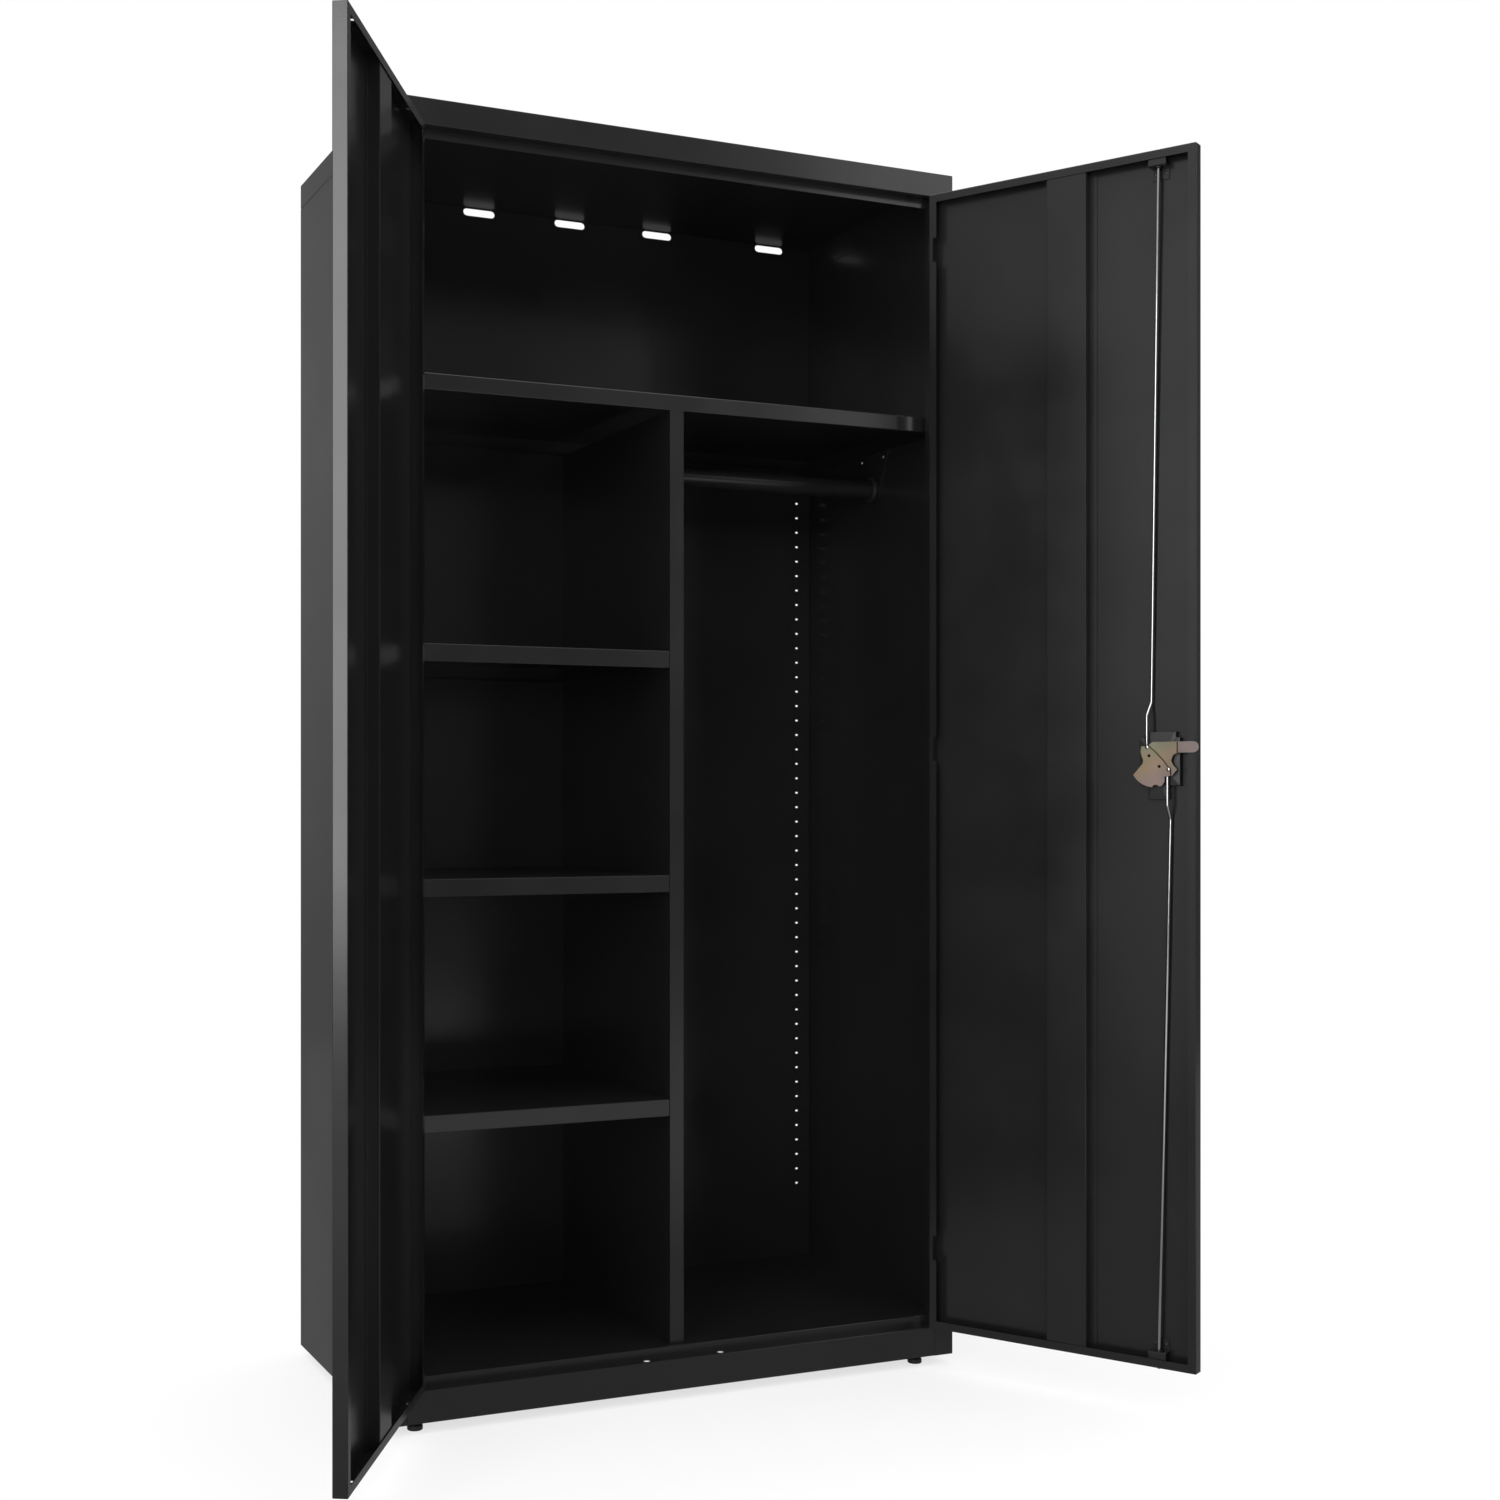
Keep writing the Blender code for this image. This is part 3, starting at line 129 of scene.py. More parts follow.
class WardrobeColours(bpy.types.PropertyGroup):
    """Colours of the finishes."""
    enamel: colour("Enamel", "#151516", "Baked black enamel of the folded sheet")
    enamel_worn: colour("Enamel haze", "#1c1c1d", "Paler patches in the enamel")
    bright_zinc: colour("Bright zinc", "#d3d4d6", "Clear zinc plate of the latch rods and studs")
    zinc_olive: colour("Zinc, olive", "#91927d", "Olive end of the yellow zinc plate")
    zinc_tan: colour("Zinc, tan", "#aa957a", "Tan middle of the yellow zinc plate")
    zinc_rose: colour("Zinc, rose", "#a5918a", "Rose end of the yellow zinc plate")
    zinc_thick: colour("Zinc, thick", "#6f665e", "Thick film that tones the arm towards its crease")
    zinc_pale: colour("Zinc, pale", "#c2b0ac", "Thin film on the bent end of the latch arm")
    # Painted shade on the zinc plate: its edge faces, the arm's crease and the crevice beside the cam
    zinc_painted_shade: colour("Zinc, edge", "#3a2f22", "Sheared edges of the yellow zinc plate")
    plastic: colour("Plastic", "#161617", "Moulded black plastic of the handle and bushings")
    pin: colour("Pin steel", "#8f9093", "Plain steel of the hinge pins")
    chrome: colour("Chrome", "#e2e3e5", "Plated face of the lock")
    floor: colour("Floor", "#f4f4f4", "Pale studio floor")


class WardrobeSizes(bpy.types.PropertyGroup):
    """Sizes of the fine pieces."""
    rod_radius: length("Latch rod radius", 0.0025, "Radius of the two latch rods")
    rod_bend: length("Latch rod bend", 0.0006, "Reach of each bend in a latch rod")
    stud_radius: length("Stud radius", 0.0026, "Radius of the studs that join the rods to the cam")
    rivet_radius: length("Rivet radius", 0.0026, "Radius of a blind rivet's head")
    rivet_height: length("Rivet height", 0.0009, "Height of a blind rivet's head")
    bushing_wall: length("Bushing wall", 0.0009, "Wall of the plastic bushings on the rods")
    grip_width: length("Grip width", 0.0148, "Widest place of the lever's grip")
    nut_flats: length("Nut across flats", 0.013, "Size of the nut on a levelling foot")
    thread_pitch: length("Thread pitch", 0.00125, "Pitch of the levelling foot's stem")
    tube_wall: length("Garment rod wall", 0.0012, "Wall of the garment rod's tube")
    hole_pitch: length("Hole pitch", 0.0254, "Pitch of the shelf holes")
    round_sides: IntProperty(name="Round sides", description="Sides of the round pieces", default=48, min=12,
                             max=128)


class WardrobeStudio(bpy.types.PropertyGroup):
    """Light and camera."""
    daylight: FloatProperty(name="Daylight", description="Even light from all round", default=1.1, min=0)
    left_light: FloatProperty(name="Left light", description="Power of the tall light at the front left",
                              default=42, min=0, unit="POWER")
    right_light: FloatProperty(name="Right light", description="Power of the light at the front right",
                               default=25, min=0, unit="POWER")
    top_light: FloatProperty(name="Top light", description="Power of the wide light overhead",
                             default=60, min=0, unit="POWER")
    wall_glow: FloatProperty(name="Wall glow", description="Brightness of the studio walls in the gloss",
                             default=0.9, min=0)
    floor_glow: FloatProperty(name="Floor glow", description="Brightness of the studio floor in the gloss",
                              default=0.25, min=0)
    lens: FloatProperty(name="Lens", description="Focal length of the camera", default=47.42, min=1,
                        unit="CAMERA")


# Placing
def unit(vectors):
    vectors = np.asarray(vectors, float)
    return vectors / np.linalg.norm(vectors, axis=-1, keepdims=True)


def on_door(side, points):
    """Door points (u, w, z), mirrored for the left door and turned about the hinge line by the open angle."""
    points = np.asarray(points, float)
    x = -side * (points[..., 0] + EDGE_TO_HINGE)
    y = points[..., 1] + LIP_TO_HINGE
    turn = side * DOOR_ANGLE
    return np.stack([side * HINGE_LINE[0] + x * cos(turn) - y * sin(turn),
                     HINGE_LINE[1] + x * sin(turn) + y * cos(turn), points[..., 2] + BASE], -1)


def door_way(way, side=1):
    """A direction in door coordinates as a direction in the frame."""
    return unit(on_door(side, way) - on_door(side, (0, 0, 0)))


# Surfaces
def shell(grid, ring=False):
    """Faces over a grid of points (rows, columns, xyz), turned so that they enclose a positive volume.

    The columns close round. The rows close round too in a ring; otherwise one face fills each end.
    """
    rows, columns = grid.shape[:2]
    index = np.arange(rows * columns).reshape(rows, columns)
    after = np.roll(index, -1, axis=1)
    if ring:
        quads = np.stack([index, after, np.roll(after, -1, axis=0), np.roll(index, -1, axis=0)], -1)
        ends = []
    else:
        quads = np.stack([index[:-1], after[:-1], after[1:], index[1:]], -1)
        ends = [index[0][::-1], index[-1]]
    quads = quads.reshape(-1, 4)
    points = grid.reshape(-1, 3)
    centred = points - points.mean(0)
    corners = centred[quads]
    halves = [corners[:, (0, 1, 2)], corners[:, (0, 2, 3)]]
    for end in ends:
        rim = centred[end]
        halves.append(np.stack([np.broadcast_to(rim[0], rim[2:].shape), rim[1:-1], rim[2:]], 1))
    volume = sum(np.einsum("ij,ij", half[:, 0], np.cross(half[:, 1], half[:, 2])) for half in halves)
    faces = quads.tolist() + [end.tolist() for end in ends]
    return points, [face[::-1] for face in faces] if volume < 0 else faces


def piece(name, shells, material, body, replaced=()):
    """One object made of closed shells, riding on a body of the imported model."""
    points = np.concatenate([part[0] for part in shells])
    starts = np.cumsum([0] + [len(part[0]) for part in shells])
    faces = [[int(start) + corner for corner in face]
             for start, part in zip(starts, shells) for face in part[1]]
    mesh = bpy.data.meshes.new(name)
    mesh.from_pydata(points.tolist(), [], faces)
    mesh.materials.append(material)
    mesh.shade_smooth()
    mesh.set_sharp_from_angle(angle=SMOOTH_ANGLE)
    item = bpy.data.objects.new(name, mesh)
    bpy.context.scene.collection.objects.link(item)
    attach(item, body)
    if replaced:
        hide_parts(*replaced)
    return item


def across(axis):
    """Two directions square to an axis and to each other."""
    axis = unit(axis)
    helper = np.array([0, 0, 1.0]) if abs(axis[2]) < 0.9 else np.array([1.0, 0, 0])
    first = unit(np.cross(helper, axis))
    return first, np.cross(axis, first)


def turned(profile, centre, axis, sides):
    """A profile of (radius, height) carried round a line: centre + height along + radius round it."""
    profile = np.asarray(profile, float)
    first, second = across(axis)
    turn = np.linspace(0, 2 * pi, sides, endpoint=False)[:, None]
    ring = np.cos(turn) * first + np.sin(turn) * second
    grid = (np.asarray(centre, float) + profile[:, 0, None, None] * ring[None]
            + profile[:, 1, None, None] * unit(axis))
    return grid


def eased(corners, reach, steps):
    """A path through the corners, each inner one eased by (1-t)^2 A + 2t(1-t) corner + t^2 B.

    A and B lie at the reach before and after the corner.
    """
    corners = np.asarray(corners, float)
    middle = corners[1:-1]
    reach = np.broadcast_to(reach, len(middle))[:, None, None]
    t = np.linspace(0, 1, steps)[None, :, None]
    before = middle[:, None] + unit(corners[:-2] - middle)[:, None] * reach
    after = middle[:, None] + unit(corners[2:] - middle)[:, None] * reach
    bends = (1 - t) ** 2 * before + 2 * t * (1 - t) * middle[:, None] + t ** 2 * after
    return np.concatenate([corners[:1], bends.reshape(-1, corners.shape[1]), corners[-1:]])


def bar(path, radius, reference, sides=24):
    """A circle carried along a path, with its radius falling to a dome at both ends.

    Near an end the radius at a distance d is radius * sqrt(1 - (1 - d / radius)^2).
    """
    path = np.asarray(path, float)
    ease = np.linspace(0.2, pi / 2, 5)
    depth = radius * (1 - np.cos(ease))
    start, end = unit(path[1] - path[0]), unit(path[-1] - path[-2])
    points = np.concatenate([path[0] + depth[:, None] * start, path[1:-1],
                             (path[-1] - depth[:, None] * end)[::-1]])
    radii = np.full(len(points), radius)
    radii[:5] = radius * np.sin(ease)
    radii[-5:] = radii[:5][::-1]
    along = unit(np.gradient(points, axis=0))
    first = unit(reference - (along @ reference)[:, None] * along)
    second = np.cross(along, first)
    turn = np.linspace(0, 2 * pi, sides, endpoint=False)[None, :, None]
    ring = np.cos(turn) * first[:, None] + np.sin(turn) * second[:, None]
    return points[:, None] + radii[:, None, None] * ring


def rays(count):
    """Unit directions at even angles."""
    turn = np.linspace(0, 2 * pi, count, endpoint=False)
    return np.stack([np.cos(turn), np.sin(turn)], -1)


def box_outline(size, radius, ray):
    """A rectangle with round corners about the origin, one point along each given ray.

    The outline lies where a ray leaves the rounded rectangle: on a straight side, or on the corner's
    circle.
    """
    half = np.asarray(size, float) / 2
    straight = (half / np.maximum(np.abs(ray), 1e-9)).min(-1)
    hub = half - radius
    middle = np.abs(ray) @ hub
    inside = np.maximum(middle ** 2 - hub @ hub + radius ** 2, 0)
    rounded = middle + np.sqrt(inside)
    spot = np.abs(ray) * straight[:, None]
    corner = (spot > hub - 1e-9).all(-1)
    return ray * np.where(corner, rounded, straight)[:, None]


def closed_outline(corners, reach, steps=5, fill=14):
    """A closed outline through the corners, each eased as on a path, with even points along each side."""
    corners = np.asarray(corners, float)
    loop = np.concatenate([corners[-1:], corners, corners[:1]])
    bends = eased(loop, reach, steps)[1:-1].reshape(len(corners), steps, 2)
    share = (np.arange(fill) + 1)[None, :, None] / (fill + 1)
    sides = bends[:, -1:] * (1 - share) + np.roll(bends[:, :1], -1, axis=0) * share
    return np.concatenate([bends, sides], axis=1).reshape(-1, 2)


def rivet(centre, axis, radius, height, sides=20):
    """A low dome on a face: radius * cos a, height * sin a, closed behind."""
    turn = np.linspace(0, pi / 2 - 0.15, 6)
    profile = np.concatenate([[(radius, -0.0002)],
                              np.stack([radius * np.cos(turn), height * np.sin(turn)], -1)])
    return shell(turned(profile, centre, axis, sides))


# Material building
def blank(name):
    """A material with its Principled shader, and the object coordinates that patterns are drawn on."""
    material = bpy.data.materials.new(name)
    material.use_nodes = True
    tree = material.node_tree
    shader = tree.nodes["Principled BSDF"]
    place = tree.nodes.new("ShaderNodeTexCoord").outputs["Object"]
    return material, tree, shader, place


def feed(tree, node, inputs):
    """Set or link a node's inputs."""
    for key, value in dict(inputs).items():
        if isinstance(value, bpy.types.NodeSocket):
            tree.links.new(value, node.inputs[key])
        else:
            node.inputs[key].default_value = value


def add(tree, kind, inputs=(), **settings):
    """Add a node, set its properties, and set or link its inputs."""
    node = tree.nodes.new("ShaderNode" + kind)
    for key, value in settings.items():
        setattr(node, key, value)
    feed(tree, node, inputs)
    return node


def maths(tree, operation, *values):
    return add(tree, "Math", dict(enumerate(values)), operation=operation).outputs[0]


def product(tree, *values):
    result = values[0]
    for value in values[1:]:
        result = maths(tree, "MULTIPLY", result, value)
    return result


def dotted(tree, vector, way):
    """How far a vector reaches along a direction."""
    return add(tree, "VectorMath", {0: vector, 1: tuple(way.tolist())},
               operation="DOT_PRODUCT").outputs["Value"]


def ranged(tree, value, source=(0.0, 1.0), target=(0.0, 1.0), kind="LINEAR"):
    """A value carried from one range to another and held inside it."""
    return add(tree, "MapRange", {"Value": value, "From Min": source[0], "From Max": source[1],
                                  "To Min": target[0], "To Max": target[1]},
               interpolation_type=kind).outputs["Result"]


def noise(tree, place, size, detail=2.0):
    """Noise whose largest lumps have the given size in metres."""
    return add(tree, "TexNoise", {"Vector": place, "Scale": 1 / size, "Detail": detail}).outputs["Fac"]


def blended(tree, share, first, second):
    """Two colours mixed by a share."""
    ends = [end if isinstance(end, bpy.types.NodeSocket) else (*end, 1) for end in (first, second)]
    return add(tree, "Mix", {0: share, 6: ends[0], 7: ends[1]}, data_type="RGBA").outputs[2]


def bumped(tree, height, strength, distance, **more):
    """The normal of a surface raised by a height from nought to one, over a distance in metres."""
    return add(tree, "Bump", {"Height": height, "Strength": strength, "Distance": distance,
                              **more}).outputs["Normal"]


def enamel(colours):
    """Baked enamel, sprayed on folded steel: near black, glossy, with a fine orange peel.

    The droplets of the spray are about 1.5 mm across and are drawn at 4 mm so that they show.
    Wide sheets are never quite flat, so a slow wave of 0.3 m bends what they mirror, and handling
    leaves hazy patches a hand wide.
    """
    material, tree, shader, place = blank("baked_black_enamel")
    haze = noise(tree, place, 0.13, 3.0)
    peel = bumped(tree, noise(tree, place, 0.004, 1.0), 0.25, 0.0001)
    feed(tree, shader, {
        "Base Color": blended(tree, haze, colours.enamel, colours.enamel_worn),
        "Roughness": ranged(tree, haze, (0.3, 0.7), (0.17, 0.25)),
        "Normal": bumped(tree, noise(tree, place, 0.3, 1.0), 1.0, 0.0015, Normal=peel),
        "IOR": 1.5,
    })
    return material


def bright_zinc(colours):
    """Clear zinc plate on drawn steel: a cold bright grey, almost a mirror, with fine lines along the rod.

    The drawing lines are 0.1 mm apart and are drawn at 0.6 mm so that they show.
    """
    material, tree, shader, place = blank("bright_zinc_plate")
    lines = add(tree, "Mapping", {"Vector": place, "Scale": (1.0, 1.0, 0.02)})
    dull = [0.85 * part for part in colours.bright_zinc]
    feed(tree, shader, {
        "Base Color": blended(tree, noise(tree, place, 0.02), colours.bright_zinc, dull),
        "Roughness": ranged(tree, noise(tree, lines.outputs["Vector"], 0.0006), target=(0.12, 0.16)),
        "Metallic": 1,
    })
    return material


def yellow_zinc(colours):
    """Yellow chromate over zinc on stamped plate: an olive, tan and rose film that drifts across it.

    The film thickens downwards, and a little towards the leading edge, over 60 mm, unevenly by 20 mm
    patches, and it is deeper on the arm up to its crease. Painted shade: the edge faces, a line 1 mm wide
    along the crease, and the crevice beside the cam and other nooks within 4 mm are dark brown. The rolled
    sheet's grain of 0.3 mm is drawn at 0.8 mm.
    """
    material, tree, shader, place = blank("yellow_zinc_plate")
    centre = tuple(on_door(1, (SPINDLE[0], PLATE_FACE, SPINDLE[1])).tolist())
    onward, inward = door_way((1, 0, 0)), door_way((0, 1, 0))
    slope = unit(0.3 * onward - np.array([0, 0, 1.0]))
    offset = add(tree, "VectorMath", {0: place, 1: centre}, operation="SUBTRACT").outputs["Vector"]
    cloud = noise(tree, place, 0.02)
    film = maths(tree, "ADD", dotted(tree, offset, slope), ranged(tree, cloud, target=(-0.016, 0.016)))
    drift = add(tree, "ValToRGB", {"Fac": ranged(tree, film, (-0.032, 0.032))})
    ramp = drift.color_ramp
    ramp.elements[0].position, ramp.elements[0].color = 0.1, (*colours.zinc_olive, 1)
    ramp.elements[1].position, ramp.elements[1].color = 0.85, (*colours.zinc_rose, 1)
    ramp.elements.new(0.5).color = (*colours.zinc_tan, 1)
    along = dotted(tree, offset, onward)
    beside = maths(tree, "SUBTRACT", along, ARM_CREASE)
    deeper = ranged(tree, along, (0.0, 0.02), (0.0, 0.35))
    thick = blended(tree, deeper, drift.outputs["Color"], colours.zinc_thick)
    tone = blended(tree, maths(tree, "GREATER_THAN", beside, 0.0), thick, colours.zinc_pale)
    # Painted shade: dark brown along the crease, where ambient occlusion finds a nook, and on faces edge-on
    # to the plate
    off_crease = ranged(tree, maths(tree, "ABSOLUTE", beside), (0.0006, 0.0010))
    crevice = add(tree, "AmbientOcclusion", {"Distance": 0.004}, samples=8).outputs["AO"]
    normal = tree.nodes.new("ShaderNodeTexCoord").outputs["Normal"]
    face = ranged(tree, maths(tree, "ABSOLUTE", dotted(tree, normal, inward)), (0.5, 0.85))
    unshaded_share = product(tree, off_crease, ranged(tree, crevice, (0.6, 0.85)), face)
    feed(tree, shader, {
        "Base Color": blended(tree, unshaded_share, colours.zinc_painted_shade, tone),
        "Roughness": ranged(tree, cloud, target=(0.24, 0.34)),
        "Normal": bumped(tree, noise(tree, place, 0.0008), 0.15, 0.0001),
        "Metallic": 1,
    })
    return material


def black_plastic(colours):
    """Glass-filled nylon, moulded against an etched tool: black with a fine matt grain.

    The grain is 0.3 mm across and is drawn at 0.9 mm.
    """
    material, tree, shader, place = blank("moulded_black_nylon")
    grain = add(tree, "TexVoronoi", {"Vector": place, "Scale": 1 / 0.0009})
    haze = noise(tree, place, 0.02)
    lighter = [1.5 * part for part in colours.plastic]
    feed(tree, shader, {
        "Base Color": blended(tree, haze, colours.plastic, lighter),
        "Roughness": ranged(tree, haze, target=(0.38, 0.55)),
        "Normal": bumped(tree, grain.outputs["Distance"], 0.35, 0.0001),
        "IOR": 1.53,
    })
    return material


def hole_shade_black(colours):
    """Painted shade in the cam's two holes: dull black plugs, lumpy by 0.5 mm, standing for the shade inside
    them.
    """
    material, tree, shader, place = blank("painted_hole_shade")
    feed(tree, shader, {
        "Base Color": (*(0.3 * part for part in colours.plastic), 1),
        "Roughness": 0.9,
        "Specular IOR Level": 0.1,
        "Normal": bumped(tree, noise(tree, place, 0.0005), 0.3, 0.0001),
    })
    return material


def pin_steel(colours):
    """Plain mild steel turned on a lathe: mid grey, with rings round the pin.

    The tool leaves rings 0.2 mm apart, and they are drawn at 0.8 mm.
    """
    material, tree, shader, place = blank("turned_steel")
    rings = add(tree, "TexWave", {"Vector": place, "Scale": 1 / 0.0025, "Distortion": 1.0},
                bands_direction="Z")
    darker = [0.6 * part for part in colours.pin]
    feed(tree, shader, {
        "Base Color": blended(tree, noise(tree, place, 0.006), colours.pin, darker),
        "Roughness": 0.36,
        "Normal": bumped(tree, rings.outputs["Fac"], 0.3, 0.00005),
        "Metallic": 1,
    })
    return material


def chrome(colours):
    """Bright chrome on a die-cast lock: near mirror, with faint swirls from polishing 1 mm apart."""
    material, tree, shader, place = blank("polished_chrome")
    swirl = add(tree, "TexNoise", {"Vector": place, "Scale": 1 / 0.001, "Distortion": 2.0})
    feed(tree, shader, {
        "Base Color": (*colours.chrome, 1),
        "Roughness": ranged(tree, swirl.outputs["Fac"], target=(0.08, 0.2)),
        "Metallic": 1,
    })
    return material


FINISHES = {
    "enamel": (enamel, "baked_black_enamel"),
    "bright_zinc": (bright_zinc, "bright_zinc_plate"),
    "yellow_zinc": (yellow_zinc, "yellow_zinc_plate"),
    "plastic": (black_plastic, "moulded_black_nylon"),
    # Painted shade: black for the inside of the cam's two holes
    "bore": (hole_shade_black, "painted_hole_shade"),
    "pin": (pin_steel, "turned_steel"),
    "chrome": (chrome, "polished_chrome"),
}


def finish(kind):
    """The named finish, made on first use."""
    make, name = FINISHES[kind]
    return bpy.data.materials.get(name) or make(bpy.context.scene.wardrobe_colours)


def dress(kind, *nodes):
    """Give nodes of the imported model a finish."""
    for node in nodes:
        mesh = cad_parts[node].data
        mesh.materials.clear()
        mesh.materials.append(finish(kind))


# Operators: finishes of the folded sheet and stamped pieces
class WARDROBE_OT_folded_sheet(bpy.types.Operator):
    """Enamel the cap, sides, back, floor pan, shelves, clips, divider, doors and hinge leaves"""
    bl_idname = "wardrobe.folded_sheet"
    bl_label = "Folded Sheet"

    def execute(self, context):
        words = ("top_cap", "side", "back_panel", "floor_pan", "shelf", "divider", "door_pan",
                 "stiffener", "leaf", "bracket", "guide", "clip")
        dress("enamel", *[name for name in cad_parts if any(word in name for word in words)])
        return {"FINISHED"}


class WARDROBE_OT_latch_rods(bpy.types.Operator):
    """Lay the two latch rods through their guides, with an eased jog beside the cam"""
    bl_idname = "wardrobe.latch_rods"
    bl_label = "Latch Rods"

    def execute(self, context):
        sizes = context.scene.wardrobe_sizes
        runs = (
            ("upper_rod", (*UPPER_RUN, (0.347, -0.0023, 0.980), (0.347, -0.0023, 0.9365))),
            ("lower_rod", (*LOWER_RUN, (0.3775, -0.0023, 0.851), (0.3775, -0.0023, 0.8995))),
        )
        inward = door_way((0, 1, 0))
        for name, corners in runs:
            path = eased(on_door(1, corners), sizes.rod_bend, 7)
            grid = bar(path, sizes.rod_radius, inward)
            piece(name + "_bar", [shell(grid)], finish("bright_zinc"), name, (name,))
        return {"FINISHED"}


class WARDROBE_OT_latch_plates(bpy.types.Operator):
    """Plate the cam and the latch arm and set the studs that carry the rods"""
    bl_idname = "wardrobe.latch_plates"
    bl_label = "Latch Plates"

    def execute(self, context):
        sizes = context.scene.wardrobe_sizes
        dress("yellow_zinc", "cam_plate", "latch_arm")
        inward = door_way((0, 1, 0))
        studs = []
        for du, dz in STUDS:
            centre = on_door(1, (SPINDLE[0] + du, PLATE_FACE, SPINDLE[1] + dz))
            turn = np.linspace(0, pi / 2 - 0.15, 6)
            dome = np.stack([sizes.stud_radius * np.cos(turn), 0.0006 + 0.0009 * np.sin(turn)], -1)
            profile = np.concatenate([[(sizes.stud_radius, -0.0003)], dome])
            studs.append(shell(turned(profile, centre, inward, 28)))
        piece("cam_studs", studs, finish("bright_zinc"), "handle")
        # Painted shade: dark plugs fill the cam's two holes and stand for the shade inside them
        plugs = []
        for du, dz in PLUGS:
            centre = on_door(1, (SPINDLE[0] + du, PLATE_FACE - 0.0002, SPINDLE[1] + dz))
            profile = ((0.0021, -0.0019), (0.0021, -0.0001), (0.0020, 0.0), (0.0002, -0.0018))
            plugs.append(shell(turned(profile, centre, inward, 24)))
        piece("cam_hole_shade_plugs", plugs, finish("bore"), "handle")
        return {"FINISHED"}


class WARDROBE_OT_rod_bushings(bpy.types.Operator):
    """Set bushings in the guides and the door's end walls, and rivet the guides to the skin"""
    bl_idname = "wardrobe.rod_bushings"
    bl_label = "Rod Bushings"

    def execute(self, context):
        sizes = context.scene.wardrobe_sizes
        bore = sizes.rod_radius + 0.0003
        rim = bore + sizes.bushing_wall + 0.0016
        neck = 0.0031
        bushings = []
        for line, height in zip((UPPER_RUN, LOWER_RUN), BUSHING_HEIGHTS):
            low, high = np.asarray(line)
            spot = low + (high - low) * (height - low[2]) / (high[2] - low[2])
            axis = unit(on_door(1, high) - on_door(1, low))
            profile = ((bore, -0.0021), (rim, -0.0021), (rim, -0.0011), (neck, -0.0009), (neck, 0.0009),
                       (rim, 0.0011), (rim, 0.0021), (bore, 0.0021))
            bushings.append(shell(turned(profile, on_door(1, spot), axis, 32), ring=True))
        piece("rod_bushings", bushings, finish("plastic"), "right_door")
        inward = door_way((0, 1, 0))
        rivets = []
        for foot in RIVET_HEIGHTS:
            for shift in (-RIVET_SHIFT, RIVET_SHIFT):
                centre = on_door(1, (GUIDE_U + shift, SKIN_INSIDE + 0.0018, foot))
                rivets.append(rivet(centre, inward, sizes.rivet_radius, sizes.rivet_height))
        piece("guide_rivets", rivets, finish("enamel"), "right_door")
        return {"FINISHED"}


